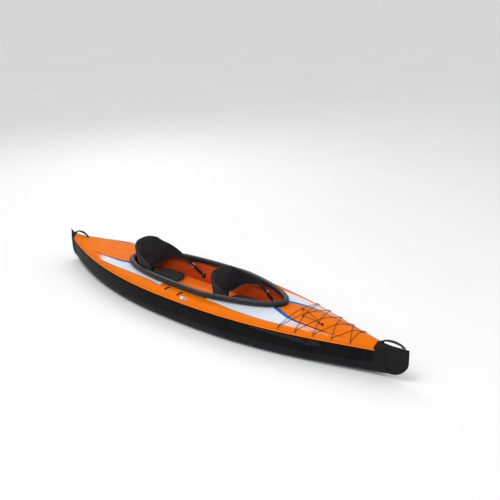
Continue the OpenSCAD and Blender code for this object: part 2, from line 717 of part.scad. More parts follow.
valve_x = -940;
valve_a = 16;
floor_valve = [-950, 60, floor_top(-950) + gap];
function wall_tilt(x) = atan(pow(tan(valve_a), 2 - 2 / section_n) * inner_r(x) * 2
    / (top_z(x) - keel_z(x)));
module at_wall_valve() {
    p = inner_pt(valve_x, valve_a, lining_clear + skin_t);
    translate([valve_x, p[0] - 2 * gap, p[1]]) rotate([0, 0, wall_turn(valve_x)])
        rotate([90 - wall_tilt(valve_x), 0, 0]) children();
}
module valve_base_port() {
    color("#2a2c30") at_wall_valve() valve_base();
}
module valve_plug_port() {
    color("#55585e") at_wall_valve() valve_plug();
}
module valve_cap_port() {
    color("#2a2c30") at_wall_valve() valve_cap();
}
module valve_base_starboard() {
    mirror([0, 1, 0]) valve_base_port();
}
module valve_plug_starboard() {
    mirror([0, 1, 0]) valve_plug_port();
}
module valve_cap_starboard() {
    mirror([0, 1, 0]) valve_cap_port();
}
module valve_base_floor() {
    color("#2a2c30") translate(floor_valve) valve_base();
}
module valve_plug_floor() {
    color("#55585e") translate(floor_valve) valve_plug();
}
module valve_cap_floor() {
    color("#2a2c30") translate(floor_valve) valve_cap();
}

// ---- The coaming's small valve, on the inner side of its aft end ----
stem_r = 6;
stem_h = 14;
// Angle round the rim, from the bow, at which the valve stands
coaming_valve_t = 164;
module at_coaming_valve() {
    p = coaming_pt(coaming_valve_t);
    d = coaming_pt(coaming_valve_t + 1) - coaming_pt(coaming_valve_t - 1);
    translate(p) rotate([0, 0, atan2(d[1], d[0]) + 90]) rotate([0, 90, 0])
        translate([0, 0, coaming_r + gap]) children();
}
module coaming_valve() {
    color("#55585e") at_coaming_valve() difference() {
        union() {
            cylinder(h = 2, r = stem_r + 5, $fn = 40);
            cylinder(h = stem_h, r = stem_r, $fn = 40);
        }
        translate([0, 0, 3]) cylinder(h = stem_h, r = stem_r - 2, $fn = 40);
    }
}
module coaming_valve_plug() {
    color(black) at_coaming_valve() union() {
        translate([0, 0, 5]) cylinder(h = stem_h - 5 + gap, r = stem_r - 2.3, $fn = 40);
        translate([0, 0, stem_h + gap]) cylinder(h = 3, r = stem_r + 1, $fn = 40);
    }
}

// ---- Lacing on the bow deck ----
loop_x0 = 1048;
loop_r = 9;
loop_wire = 1.6;
loop_a = 46;
// The deck's slope from level at a loop, in degrees
function loop_tilt(x) = let (e = 2 - 2 / section_n)
    atan2(pow(cos(loop_a), e) / bilge_r(x), 2 * pow(sin(loop_a), e) / (top_z(x) - keel_z(x)));
function loop_x(k) = loop_x0 + k * loop_pitch;
function loop_turn(x) = atan((side_pt(x + 10, loop_a, 0)[0] - side_pt(x - 10, loop_a, 0)[0]) / 20);
function loop_pt(k, side, lift) = let (x = loop_x(k), p = side_pt(x, loop_a, -lift))
    [x, side * p[0], p[1]];
module lacing_loops() {
    color("#303236") for (side = [-1, 1]) for (k = [0:loop_count - 1])
        translate(loop_pt(k, side, 2 * gap)) rotate([0, 0, side * loop_turn(loop_x(k))])
            rotate([-side * loop_tilt(loop_x(k)), 0, 0]) rotate([90, 0, 0]) intersection() {
                rotate_extrude($fn = 32) translate([loop_r, 0]) circle(r = loop_wire, $fn = 16);
                translate([-loop_r * 2, 0, -loop_wire * 2])
                    cube([loop_r * 4, loop_r * 2, loop_wire * 4]);
            }
}

// A run of cord over the deck between two points, at a height above the fabric
shoulder_lift = 2.4;
rest_lift = 0.7;
function over_deck(x, y, lift) =
    let (y0 = half_breadth(x) - bilge_r(x), fall = clamp01((abs(y) - y0) / bilge_r(x)))
    [x, y, (abs(y) <= y0 ? deck_z(x, y) : deck_shoulder_z(x, y))
        + (cord_r + lift) * (1 + shoulder_lift * fall * fall)];
function deck_shoulder_z(x, y) =
    let (r = bilge_r(x), h = (top_z(x) - keel_z(x)) / 2,
         c = clamp01((abs(y) - half_breadth(x) + r) / r))
    keel_z(x) + h + h * pow(1 - pow(c, section_n), 1 / section_n);
module run(a, b, lift) {
    cord([for (t = eased(0, 1, 12)) let (ease = min(1, 5 * t, 5 * (1 - t)))
        over_deck(mix(a[0], b[0], t), mix(a[1], b[1], t), rest_lift + lift * ease)], cord_r, 6);
}
function anchor(k, side) = [loop_x(k), side * (side_pt(loop_x(k), loop_a, 0)[0] - 1)];
knot_a = [1052, 48];
knot_b = [1140, -60];
lock_at = [1345, -72];
cross_lift = 5.5;
module deck_lacing() {
    color("#4a2a1c") union() {
        for (k = [0:loop_count - 2]) {
            run(anchor(k, -1), anchor(k + 1, 1), 0.2);
            run(anchor(k, 1), anchor(k + 1, -1), cross_lift);
        }
        run(anchor(loop_count - 1, -1), anchor(loop_count - 1, 1), 0.2);
        run(anchor(0, -1), knot_a, cross_lift);
        run(knot_a, anchor(0, 1), cross_lift);
        run(knot_a, knot_b, cross_lift * 1.9);
        run(knot_a, lock_at, cross_lift * 1.9);
        run(knot_b, lock_at, cross_lift * 1.9);
    }
}

// ---- Cord lock with a sprung button ----
lock_r = 9;
lock_h = 15;
button_r = 6;
button_travel = 4;
lock_well = 5;
function lock_base() = let (x = lock_at[0] + lock_r + 2 * gap, y = lock_at[1])
    [x, y, deck_z(x, y) + 4 * gap];
module cord_lock() {
    color(black) translate(lock_base()) difference() {
        cylinder(h = lock_h, r = lock_r, $fn = 48);
        translate([0, 0, lock_well]) cylinder(h = lock_h, r = button_r + gap, $fn = 48);
    }
}
module cord_lock_button() {
    color(dark_grey) translate(lock_base() + [0, 0, lock_well + button_travel + gap])
        cylinder(h = lock_h - lock_well, r = button_r, $fn = 48);
}

// ---- Paddle holders on the side decks, and a plain patch ----
tab_w = 25;
tab_t = 2;
module deck_tab(x, y0, y1) {
    color(black) webbing([for (y = spread(y0, y1, 6))
        [x, -y, (y > half_breadth(x) - bilge_r(x) ? deck_shoulder_z(x, y) : deck_z(x, y))
            + tab_t / 2 + 0.7]], [1, 0, 0], tab_w, tab_t);
}
module paddle_strap_aft() {
    deck_tab(-240, rim_y(-240) + coaming_r * 0.9, half_breadth(-240) - 60);
}
module paddle_strap_fore() {
    deck_tab(-60, rim_y(-60) + coaming_r * 1.1, half_breadth(-60) - 45);
}
loop_span = 72;
loop_rise = 42;
module paddle_loop() {
    color(black) cord([for (t = spread(0, 1, 14))
        let (x = -110 + loop_span * (t - 0.5), y = rim_y(x) + coaming_r + 5)
        [x, y, deck_z(x, y) + 5 * gap + loop_rise * pow(sin(180 * t), 0.6)]], 3, 6);
}
module deck_patch() {
    color("#d8dce0") webbing([for (x = spread(-12, 62, 4)) let (y = half_breadth(x) - 42)
        [x, -y, deck_shoulder_z(x, y) + 1.1]], unit([0, -1, -0.35]), 26, 0.8);
}

hull_bottom();
hull_side_port();
hull_side_starboard();
bow_cap();
stern_cap();
deck_bow();
deck_stern();
deck_side_port();
deck_side_starboard();
edge_piping_port();
edge_piping_starboard();
lining_port();
lining_starboard();
chamber_port();
chamber_starboard();
floor_chamber();
coaming_sleeve();
coaming_tube();
deck_batten_bow();
deck_batten_stern();
bow_handle();
stern_handle();
handle_anchors();
seat_hinges();
aft_seat_cushion();
aft_backrest();
aft_wing_port();
aft_wing_starboard();
aft_strap_port();
aft_strap_starboard();
aft_buckles();
front_seat_cushion();
front_backrest();
front_wing_port();
front_wing_starboard();
front_strap_port();
front_strap_starboard();
front_buckles();
strap_rings();
strap_patches();
valve_base_port();
valve_plug_port();
valve_cap_port();
valve_base_starboard();
valve_plug_starboard();
valve_cap_starboard();
valve_base_floor();
valve_plug_floor();
valve_cap_floor();
coaming_valve();
coaming_valve_plug();
lacing_loops();
deck_lacing();
cord_lock();
cord_lock_button();
paddle_strap_aft();
paddle_strap_fore();
paddle_loop();
deck_patch();
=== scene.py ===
"""Visual model of a decked two-seat inflatable kayak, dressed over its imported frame.

Lengths are metres in the frame's axes: +X to the bow, +Y to port, +Z up, with the
origin on the ground midway along the length and the beam.
"""

import json
import logging
import math
from collections.abc import Callable, Sequence
from dataclasses import dataclass, field
from enum import Enum

import bmesh
import bpy
import numpy as np
from mathutils import Matrix, Vector, noise

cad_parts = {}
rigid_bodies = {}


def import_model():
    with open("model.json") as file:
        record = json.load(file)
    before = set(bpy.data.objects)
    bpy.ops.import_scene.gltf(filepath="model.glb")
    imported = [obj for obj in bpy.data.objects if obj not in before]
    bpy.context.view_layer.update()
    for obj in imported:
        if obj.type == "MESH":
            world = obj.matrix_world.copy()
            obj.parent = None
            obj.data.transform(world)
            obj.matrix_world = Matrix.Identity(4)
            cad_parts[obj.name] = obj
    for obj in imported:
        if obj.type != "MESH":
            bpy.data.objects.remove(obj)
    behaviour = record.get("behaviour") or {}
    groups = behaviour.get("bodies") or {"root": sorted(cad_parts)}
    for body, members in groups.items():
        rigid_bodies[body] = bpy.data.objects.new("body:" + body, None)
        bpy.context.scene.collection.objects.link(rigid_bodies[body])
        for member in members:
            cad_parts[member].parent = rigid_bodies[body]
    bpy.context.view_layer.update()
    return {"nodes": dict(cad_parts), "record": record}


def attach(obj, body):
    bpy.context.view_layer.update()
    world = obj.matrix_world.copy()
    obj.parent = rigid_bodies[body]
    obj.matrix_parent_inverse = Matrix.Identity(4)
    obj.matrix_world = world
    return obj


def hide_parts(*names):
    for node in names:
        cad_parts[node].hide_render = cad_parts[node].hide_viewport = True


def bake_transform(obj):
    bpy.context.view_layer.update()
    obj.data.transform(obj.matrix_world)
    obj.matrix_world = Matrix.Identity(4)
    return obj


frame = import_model()
LOG = logging.getLogger("kayak")
Point = Sequence[float]
Colour = tuple[float, float, float]
Knots = tuple[tuple[float, float], ...]


class Side(Enum):
    """The two sides of the boat, with the sign that Y takes there."""

    PORT = 1
    STARBOARD = -1

    @property
    def word(self) -> str:
        """The side's name as the frame's nodes spell it."""
        return self.name.lower()


def clamp01(value: float) -> float:
    """Limits a value to the range from 0 to 1."""
    return max(0.0, min(1.0, value))


def mix(a: float, b: float, t: float) -> float:
    """Goes from a to b as t goes from 0 to 1."""
    return a + (b - a) * t


def signed_pow(value: float, power: float) -> float:
    """Raises the size of a value to a power and keeps its sign."""
    return math.copysign(abs(value) ** power, value)


def spread(a: float, b: float, n: int) -> list[float]:
    """Gives n + 1 even steps from a to b."""
    return [mix(a, b, i / n) for i in range(n + 1)]


def eased(a: float, b: float, n: int) -> list[float]:
    """Gives n + 1 steps from a to b that crowd towards both ends."""
    return [mix(a, b, (1 - math.cos(math.pi * i / n)) / 2) for i in range(n + 1)]


# ---------------------------------------------------------------- the hull's lines


@dataclass(frozen=True)
class HullLines:
    """The hull's plan, sections, deck and cockpit rim as functions of the station x."""

    length: float = 4.3
    beam: float = 0.89
    side_h: float = 0.281
    chamber_w: float = 0.18
    skin: float = 0.0015
    gap: float = 0.0003
    end_hw: float = 0.03
    mid_x: float = -0.2
    cap_x: float = 1.87
    bow_x: float = 1.99
    stern_x: float = -2.07
    seam_a: float = 33.0
    chine_a: float = -9.0
    rim_mid: float = 0.15
    rim_fore: float = 0.892
    rim_aft: float = -1.045
    rim_w: float = 0.304
    rim_h: float = 0.325
    rim_r: float = 0.027
    ridge_fore: float = 0.287
    ridge_aft: float = 0.302
    floor_h: float = 0.12
    lining_clear: float = 0.0009

    def along(self, x: float) -> float:
        """0 at the widest station and 1 where the stems begin."""
        if x > self.mid_x:
            return (x - self.mid_x) / (self.bow_x - self.mid_x)
        return (self.mid_x - x) / (self.mid_x - self.stern_x)

    def nose(self, x: float) -> float:
        """0 at the stem's root and 1 at its tip."""
        half = self.length / 2
        if x > 0:
            return clamp01((x - self.bow_x) / (half - self.bow_x))
        return clamp01((self.stern_x - x) / (self.stern_x + half))

    def round_off(self, x: float) -> float:
        """The share of the breadth that is left along the rounded stem."""
        return math.sqrt(max(0.0, 1 - self.nose(x) ** 2))

    def half_breadth(self, x: float) -> float:
        """Half the hull's breadth at a station."""
        u = clamp01(self.along(x))
        fall = (1 - u**2.29) ** 1.19 if x > self.mid_x else (1 - u**2.14) ** 0.96
        return (self.end_hw + (self.beam / 2 - self.end_hw) * fall) * self.round_off(x)

    def keel(self, x: float) -> float:
        """Height of the bottom at a station."""
        rocker = (0.04 if x > 0 else 0.048) * clamp01((self.along(x) - 0.4) / 0.6) ** 3
        return rocker + 0.15 * (1 - self.round_off(x))

    def top(self, x: float) -> float:
        """Height of a side chamber's top at a station."""
        return self.side_h + (-0.012 if x > 0 else 0.004) * clamp01(self.along(x)) ** 2

    def bilge(self, x: float) -> float:
        """Breadth of the rounded side at a station."""
        return min(0.09, 0.5 * self.half_breadth(x))

    def side(self, x: float, a: float, inset: float = 0.0) -> tuple[float, float]:
        """A point on the outer section.

        Args:
            x: The station.
            a: The angle round the section, 0 at the widest point, in degrees.
            inset: How far inside the outer surface the point is.

        Returns:
            The point's y and z on the port side.
        """
        r, h, c = self.bilge(x), (self.top(x) - self.keel(x)) / 2, math.radians(a)
        return (
            self.half_breadth(x) - r + (r - inset) * signed_pow(math.cos(c), 2 / 3),
            self.keel(x) + h + (h - inset) * signed_pow(math.sin(c), 2 / 3),
        )

    def in_cockpit(self, x: float) -> bool:
        """Whether a station crosses the cockpit."""
        return self.rim_aft < x < self.rim_fore

    def rim_y(self, x: float) -> float:
        """Half-breadth of the coaming's centreline at a station."""
        if x > self.rim_mid:
            u = clamp01((x - self.rim_mid) / (self.rim_fore - self.rim_mid))
            return self.rim_w * (1 - u**1.3) ** 0.56
        u = clamp01((self.rim_mid - x) / (self.rim_mid - self.rim_aft))
        return self.rim_w * (1 - u**2.7) ** 0.42

    def rim_z(self, x: float) -> float:
        """Height of the coaming's centreline at a station."""
        return self.rim_h + (x - self.rim_mid) * (0.025 if x > self.rim_mid else 0.017)

    def deck_edge_z(self, x: float) -> float:
        """Height at which the deck meets the coaming."""
        return self.rim_z(x) - self.rim_r - self.gap

    def ridge(self, x: float) -> float:
        """Height of the deck's ridge before or behind the cockpit."""
        if x > self.rim_fore:
            t = clamp01((x - self.rim_fore) / (self.cap_x - self.rim_fore))
            return mix(self.deck_edge_z(self.rim_fore), self.ridge_fore, t) + 0.012 * self.nose(x)
        t = clamp01((self.rim_aft - x) / (self.rim_aft + self.cap_x))
        return mix(self.deck_edge_z(self.rim_aft), self.ridge_aft, t) + 0.042 * self.nose(x) ** 1.5

    def deck(self, x: float, s: float, inset: float = 0.0) -> tuple[float, float]:
        """A point on the deck.

        Args:
            x: The station.
            s: 0 at the side chamber's top and 1 at the rim or the ridge.
            inset: How far below the deck's surface the point is.

        Returns:
            The point's y and z on the port side.
        """
        y0 = self.half_breadth(x) - self.bilge(x)
        edge = max(self.rim_y(x), 0.002) if self.in_cockpit(x) else 0.0
        z1 = self.deck_edge_z(x) if self.in_cockpit(x) else self.ridge(x)
        m = clamp01(edge / 0.15)
        crown = m * s * s + (1 - m) * (2 * s - s * s)
        return mix(y0, min(edge, y0), s), self.top(x) + (z1 - self.top(x)) * crown - inset

    def deck_z(self, x: float, y: float) -> float:
        """Height of the deck, or of the shoulder outboard of it, at a place."""
        y0 = self.half_breadth(x) - self.bilge(x)
        if abs(y) > y0:
            h = (self.top(x) - self.keel(x)) / 2
            c = clamp01((abs(y) - y0) / self.bilge(x))
            return self.keel(x) + h + h * (1 - c**3) ** (1 / 3)
        edge = min(max(self.rim_y(x), 0.002) if self.in_cockpit(x) else 0.0, y0)
        return self.deck(x, clamp01((y0 - abs(y)) / max(0.001, y0 - edge)))[1]

    def chamber_y(self, x: float) -> float:
        """Half-breadth of the cockpit between the side chambers."""
        return max(0.001, self.half_breadth(x) - self.chamber_w)

    def inner(self, x: float, a: float, proud: float = 0.0) -> tuple[float, float]:
        """A point on a side chamber's inner surface, moved out towards the cockpit."""
        r = min(0.1, (self.half_breadth(x) - self.chamber_y(x)) / 2)
        h, c = (self.top(x) - self.keel(x)) / 2, math.radians(a)
        inset = self.skin + self.gap
        return (
            self.chamber_y(x) + r - (r + proud) * signed_pow(math.cos(c), 2 / 3),
            self.keel(x) + h + (h - inset + proud) * signed_pow(math.sin(c), 2 / 3),
        )

    def wall_y(self, x: float) -> float:
        """Half-breadth between the linings at their widest line."""
        return self.chamber_y(x) - self.lining_clear - self.skin

    def floor_top(self, x: float) -> float:
        """Height of the floor at a station."""
        return self.keel(x) + self.skin + self.gap + self.floor_h

    def rim(self, t: float) -> Vector:
        """A point on the coaming's centreline, t degrees round from the bow."""
        c = math.cos(math.radians(t))
        reach = self.rim_fore - self.rim_mid if c > 0 else self.rim_mid - self.rim_aft
        x = self.rim_mid + reach * c
        y = math.copysign(self.rim_y(x), math.sin(math.radians(t)))
        return Vector((x, y, self.rim_z(x)))


# ---------------------------------------------------------------- meshes


def finish(
    mesh: bpy.types.Mesh, name: str, material: bpy.types.Material, smooth: float = 50.0
) -> bpy.types.Object:
    """Puts a mesh into the scene as one piece with smooth shading.

    Args:
        mesh: The mesh, in the frame's own axes.
        name: The piece's name.
        material: Its finish.
        smooth: The angle above which an edge stays sharp, in degrees.

    Returns:
        The new object.
    """
    mesh.name = name
    mesh.materials.clear()
    mesh.materials.append(material)
    piece = bpy.data.objects.new(name, mesh)
    bpy.context.scene.collection.objects.link(piece)
    mesh.polygons.foreach_set("use_smooth", [True] * len(mesh.polygons))
    mesh.set_sharp_from_angle(angle=math.radians(smooth))
    return piece


def build(
    name: str,
    points: Sequence[Point],
    faces: Sequence[Sequence[int]],
    material: bpy.types.Material,
    smooth: float = 50.0,
    outward: bool = False,
) -> bpy.types.Object:
    """Makes a piece from points and faces.

    Args:
        name: The piece's name.
        points: Its vertices.
        faces: Its faces as vertex numbers.
        material: Its finish.
        smooth: The angle above which an edge stays sharp, in degrees.
        outward: Whether to turn every face of a closed shape outwards.

    Returns:
        The new object.
    """
    mesh = bpy.data.meshes.new(name)
    mesh.from_pydata([tuple(p) for p in points], [], faces)
    mesh.validate()
    if outward:
        shape = bmesh.new()
        shape.from_mesh(mesh)
        bmesh.ops.remove_doubles(shape, verts=shape.verts, dist=1e-6)
        bmesh.ops.recalc_face_normals(shape, faces=shape.faces)
        shape.to_mesh(mesh)
        shape.free()
    return finish(mesh, name, material, smooth)


def grid_faces(n: int, m: int, wrap: bool = False, flip: bool = False) -> list[list[int]]:
    """Quads over a grid of n rows of m points.

    Args:
        n: The number of rows.
        m: The number of points in a row.
        wrap: Whether each row closes on itself.
        flip: Whether to turn the faces over.

    Returns:
        The faces as vertex numbers.
    """
    faces = []
    for i in range(n - 1):
        for j in range(m if wrap else m - 1):
            q = (j + 1) % m
            face = [i * m + j, (i + 1) * m + j, (i + 1) * m + q, i * m + q]
            faces.append(face[::-1] if flip else face)
    return faces


def skin(
    name: str,
    rows: Sequence[Sequence[Point]],
    material: bpy.types.Material,
    thickness: float,
    flip: bool = False,
) -> bpy.types.Object:
    """Makes a sewn panel: a smooth grid with the cloth's thickness on its inner side.

    Args:
        name: The piece's name.
        rows: The outer surface's points, row by row.
        material: Its finish.
        thickness: The cloth's thickness.
        flip: Whether to turn the panel over so that its faces point outwards.

    Returns:
        The new object.
    """
    n, m = len(rows), len(rows[0])
    piece = build(
        name, [p for row in rows for p in row], grid_faces(n, m, flip=not flip), material, 60
    )
    solid = piece.modifiers.new("cloth", "SOLIDIFY")
    solid.thickness = thickness
    solid.offset = -1
    return piece


def loft(
    name: str,
    rings: Sequence[Sequence[Point]],
    material: bpy.types.Material,
    smooth: float = 50.0,
) -> bpy.types.Object:
    """Makes a closed form through rings of points, with a fan over each end.

    Args:
        name: The piece's name.
        rings: The rings, each with as many points.
        material: Its finish.
        smooth: The angle above which an edge stays sharp, in degrees.

    Returns:
        The new object.
    """
    n, m = len(rings), len(rings[0])
    points = [tuple(p) for ring in rings for p in ring]
    points += [tuple(np.mean(rings[k], axis=0)) for k in (0, -1)]
    faces = grid_faces(n, m, wrap=True)
    faces += [[n * m, j, (j + 1) % m] for j in range(m)]
    faces += [[n * m + 1, (n - 1) * m + (j + 1) % m, (n - 1) * m + j] for j in range(m)]
    return build(name, points, faces, material, smooth, outward=True)


def frames(path: Sequence[Vector], closed: bool) -> list[tuple[Vector, Vector]]:
    """Two directions across a path at each of its points, with the least turning.

    Args:
        path: The points.
        closed: Whether the path is a loop.

    Returns:
        A pair of unit vectors for each point.
    """
    last, found = len(path) - 1, []
    up = Vector((0, 0, 1))
    for i, _ in enumerate(path):
        ahead = path[(i + 1) % len(path)] if closed else path[min(last, i + 1)]
        behind = path[i - 1] if closed else path[max(0, i - 1)]
        d = (ahead - behind).normalized()
        side = up.cross(d) if abs(d.z) < 0.98 else Vector((0, 1, 0)).cross(d)
        if found and not closed:
            side = found[-1][1].cross(d)
        side.normalize()
        found.append((side, d.cross(side).normalized()))
    return found


def tube(
    name: str,
    path: Sequence[Point],
    radius: float,
    material: bpy.types.Material,
    sides: int = 10,
    closed: bool = False,
    swell: Callable[[int, int], float] | None = None,
) -> bpy.types.Object:
    """Makes a round cord or pipe along a path.

    Args:
        name: The piece's name.
        path: The centreline's points.
        radius: The cord's radius.
        material: Its finish.
        sides: The number of points round it.
        closed: Whether it is a loop.
        swell: Gives a factor on the radius for a ring and a point on it.

    Returns:
        The new object.
    """
    points = [Vector(p) for p in path]
    rings = []
    for i, (s, u) in enumerate(frames(points, closed)):
        ring = []
        for j in range(sides):
            f = math.tau * (j + 0.5) / sides
            r = radius * (swell(i, j) if swell else 1.0)
            ring.append(points[i] + r * (math.cos(f) * s + math.sin(f) * u))
        rings.append(ring)
    if not closed:
        return loft(name, rings, material)
    rings.append(rings[0])
    flat = [p for ring in rings for p in ring]
    return build(name, flat, grid_faces(len(rings), sides, wrap=True), material, outward=True)


def ribbon(
    name: str,
    path: Sequence[Point],
    across: Sequence[Point] | Point,
    width: float,
    thickness: float,
    material: bpy.types.Material,
) -> bpy.types.Object:
    """Makes flat webbing along a path, with rounded edges.

    Args:
        name: The piece's name.
        path: The middle line's points.
        across: The width's direction, for all points or for each.
        width: The webbing's width.
        thickness: Its thickness.
        material: Its finish.

    Returns:
        The new object.
    """
    points = [Vector(p) for p in path]
    last, rings = len(points) - 1, []
    each = len(np.shape(across)) == 2
    for i, p in enumerate(points):
        d = (points[min(last, i + 1)] - points[max(0, i - 1)]).normalized()
        w = Vector(across[i] if each else across).normalized()
        u = d.cross(w).normalized()
        ring = []
        for j in range(16):
            f = math.tau * (j + 0.5) / 16
            a = signed_pow(math.cos(f), 0.35) * width / 2
            b = signed_pow(math.sin(f), 0.8) * thickness / 2
            ring.append(p + w * a + u * b)
        rings.append(ring)
    return loft(name, rings, material, 70)


# ---------------------------------------------------------------- node graphs


class Graph:
    """A short way to add and link the nodes of one tree."""

    def __init__(self, tree: bpy.types.NodeTree) -> None:
        """Starts on an existing tree."""
        self.tree = tree

    def node(
        self, kind: str, props: dict[str, object] | None = None, **inputs: object
    ) -> bpy.types.Node:
        """Adds a node.

        Args:
            kind: The node's type.
            props: Settings of the node itself.
            inputs: Values or sockets for its inputs, by name with _ for a space, or iN.

        Returns:
            The node.
        """
        made = self.tree.nodes.new(kind)
        for key, value in (props or {}).items():
            setattr(made, key, value)
        for key, value in inputs.items():
            number = key[0] == "i" and key[1:].isdigit()
            socket = made.inputs[int(key[1:])] if number else made.inputs[key.replace("_", " ")]
            if isinstance(value, bpy.types.NodeSocket):
                self.tree.links.new(value, socket)
            else:
                socket.default_value = value
        return made

    def math(self, operation: str, a: object, b: object = 0.0, c: object = 0.0) -> object:
        """Adds a math node and gives its output."""
        node = self.node("ShaderNodeMath", {"operation": operation}, i0=a, i1=b, i2=c)
        return node.outputs[0]

    def blend(self, factor: object, a: object, b: object) -> object:
        """Adds a colour mix and gives its output."""
        a = (*a, 1.0) if isinstance(a, tuple) else a
        b = (*b, 1.0) if isinstance(b, tuple) else b
        node = self.node("ShaderNodeMix", {"data_type": "RGBA"}, i0=factor, i6=a, i7=b)
        return node.outputs[2]

    def noise(self, where: object, scale: float, detail: float = 4.0) -> object:
        """Adds a noise texture and gives its value."""
        node = self.node("ShaderNodeTexNoise", Vector=where, Scale=scale, Detail=detail)
        return node.outputs[0]

    def ramp(self, value: object, low: float, high: float) -> object:
        """Maps a range to 0 to 1, held at both ends."""
        node = self.node("ShaderNodeMapRange", Value=value, From_Min=low, From_Max=high)
        return node.outputs[0]

    def curve(self, x: object, points: Sequence[tuple[float, float]]) -> object:
        """Adds a curve over the boat's length.

        Args:
            x: The socket that holds the station.
            points: Stations and the values there, from 0 to 1.

        Returns:
            The value's socket.
        """
        half = LINES.length / 2
        where = self.ramp(x, -half, half)
        node = self.node("ShaderNodeFloatCurve", Value=where)
        line = node.mapping.curves[0]
        node.mapping.extend = "HORIZONTAL"
        spots = [((px + half) / (2 * half), py) for px, py in points]
        line.points[0].location, line.points[1].location = spots[0], spots[-1]
        for spot in spots[1:-1]:
            line.points.new(*spot)
        node.mapping.update()
        return node.outputs[0]


LINES = HullLines()


class Surface:
    """A new material with its shader, its Object coordinates and a graph."""

    def __init__(self, name: str) -> None:
        """Makes the empty material."""
        self.material = bpy.data.materials.new(name)
        self.material.use_nodes = True
        self.graph = Graph(self.material.node_tree)
        self.shader = self.material.node_tree.nodes["Principled BSDF"]
        self.place = self.graph.node("ShaderNodeTexCoord").outputs["Object"]
        axes = self.graph.node("ShaderNodeSeparateXYZ", Vector=self.place)
        self.x, self.y, self.z = axes.outputs

    def set(self, **values: object) -> None:
        """Sets or links the shader's inputs, by name with _ for a space."""
        for key, value in values.items():
            socket = self.shader.inputs[key.replace("_", " ")]
            if isinstance(value, bpy.types.NodeSocket):
                self.graph.tree.links.new(value, socket)
            elif isinstance(value, tuple):
                socket.default_value = (*value, 1.0)
            else:
                socket.default_value = value

    def weave(self, pitch: float) -> object:
        """Gives the height of a plain weave of threads.

        Args:
            pitch: The distance between two threads.

        Returns:
            The height's socket, from 0 to 1.
        """
        g, turn = self.graph, math.tau / pitch
        u = g.math("SINE", g.math("MULTIPLY", self.x, turn))
        across = g.math("ADD", g.math("MULTIPLY", self.y, 0.8), g.math("MULTIPLY", self.z, 1.15))
        v = g.math("SINE", g.math("MULTIPLY", across, turn))
        return g.math("MULTIPLY_ADD", g.math("MULTIPLY", u, v), 0.5, 0.5)

    def bump(self, *layers: tuple[object, float, float]) -> None:
        """Feeds the shader's normal from heights, each with a distance and a strength."""
        normal = None
        for height, distance, strength in layers:
            extra = {"Normal": normal} if normal else {}
            node = self.graph.node(
                "ShaderNodeBump", Height=height, Distance=distance, Strength=strength, **extra
            )
            normal = node.outputs[0]
        self.set(Normal=normal)


@dataclass(frozen=True)
class ClothFinish:
    """A coated or woven cloth with uneven tone, threads and soft creases."""

    name: str
    colour: Colour
    worn: Colour
    roughness: float = 0.55
    pitch: float = 0.0016
    thread: float = 0.0003
    crease: float = 0.0015
    sheen: float = 0.04
    coat: float = 0.0
    specular: float = 0.3

    def make(self) -> bpy.types.Material:
        """Builds the material."""
        s = Surface(self.name)
        g = s.graph
        tone = g.ramp(g.noise(s.place, 7.0, 6.0), 0.32, 0.72)
        weave = s.weave(self.pitch)
        shade = g.math("MULTIPLY_ADD", weave, 0.22, g.math("MULTIPLY", tone, 0.6))
        rough = g.math("MULTIPLY_ADD", g.noise(s.place, 38.0), 0.2, self.roughness - 0.1)
        s.set(
            Base_Color=g.blend(shade, self.colour, self.worn),
            Roughness=rough,
            Sheen_Weight=self.sheen,
            Sheen_Roughness=0.5,
            Coat_Weight=self.coat,
            Coat_Roughness=0.35,
            Specular_IOR_Level=self.specular,
        )
        s.bump((g.noise(s.place, 16.0, 5.0), self.crease, 0.5), (weave, self.thread, 0.6))
        return s.material


@dataclass(frozen=True)
class MouldedFinish:
    """Moulded plastic with a fine grain, or metal where the flag is set."""

    name: str
    colour: Colour
    scuffed: Colour
    roughness: float = 0.45
    metal: bool = False

    def make(self) -> bpy.types.Material:
        """Builds the material."""
        s = Surface(self.name)
        g = s.graph
        scuff = g.ramp(g.noise(s.place, 90.0, 8.0), 0.5, 0.75)
        rough = g.math("MULTIPLY_ADD", scuff, 0.2, self.roughness - 0.05)
        s.set(
            Base_Color=g.blend(scuff, self.colour, self.scuffed),
            Roughness=rough,
            Metallic=1.0 if self.metal else 0.0,
            Specular_IOR_Level=0.5 if self.metal else 0.3,
        )
        s.bump((g.noise(s.place, 700.0, 2.0), 0.0002, 0.35))
        return s.material


@dataclass(frozen=True)
class BraidFinish:
    """A braided cord with a spiral of light flecks."""

    name: str
    colour: Colour
    fleck: Colour

    def make(self) -> bpy.types.Material:
        """Builds the material."""
        s = Surface(self.name)
        g = s.graph
        spiral = g.math("ADD", g.math("MULTIPLY", s.x, 1.3), g.math("ADD", s.y, s.z))
        twist = g.math("SINE", g.math("MULTIPLY", spiral, math.tau / 0.0032))
        other = g.math("SINE", g.math("MULTIPLY", g.math("SUBTRACT", s.x, s.y), math.tau / 0.0027))
        height = g.math("MULTIPLY_ADD", g.math("MULTIPLY", twist, other), 0.5, 0.5)
        s.set(Base_Color=g.blend(g.ramp(height, 0.7, 0.95), self.colour, self.fleck),
              Roughness=0.7)
        s.bump((height, 0.0006, 0.7))
        return s.material


# ---------------------------------------------------------------- printed finishes


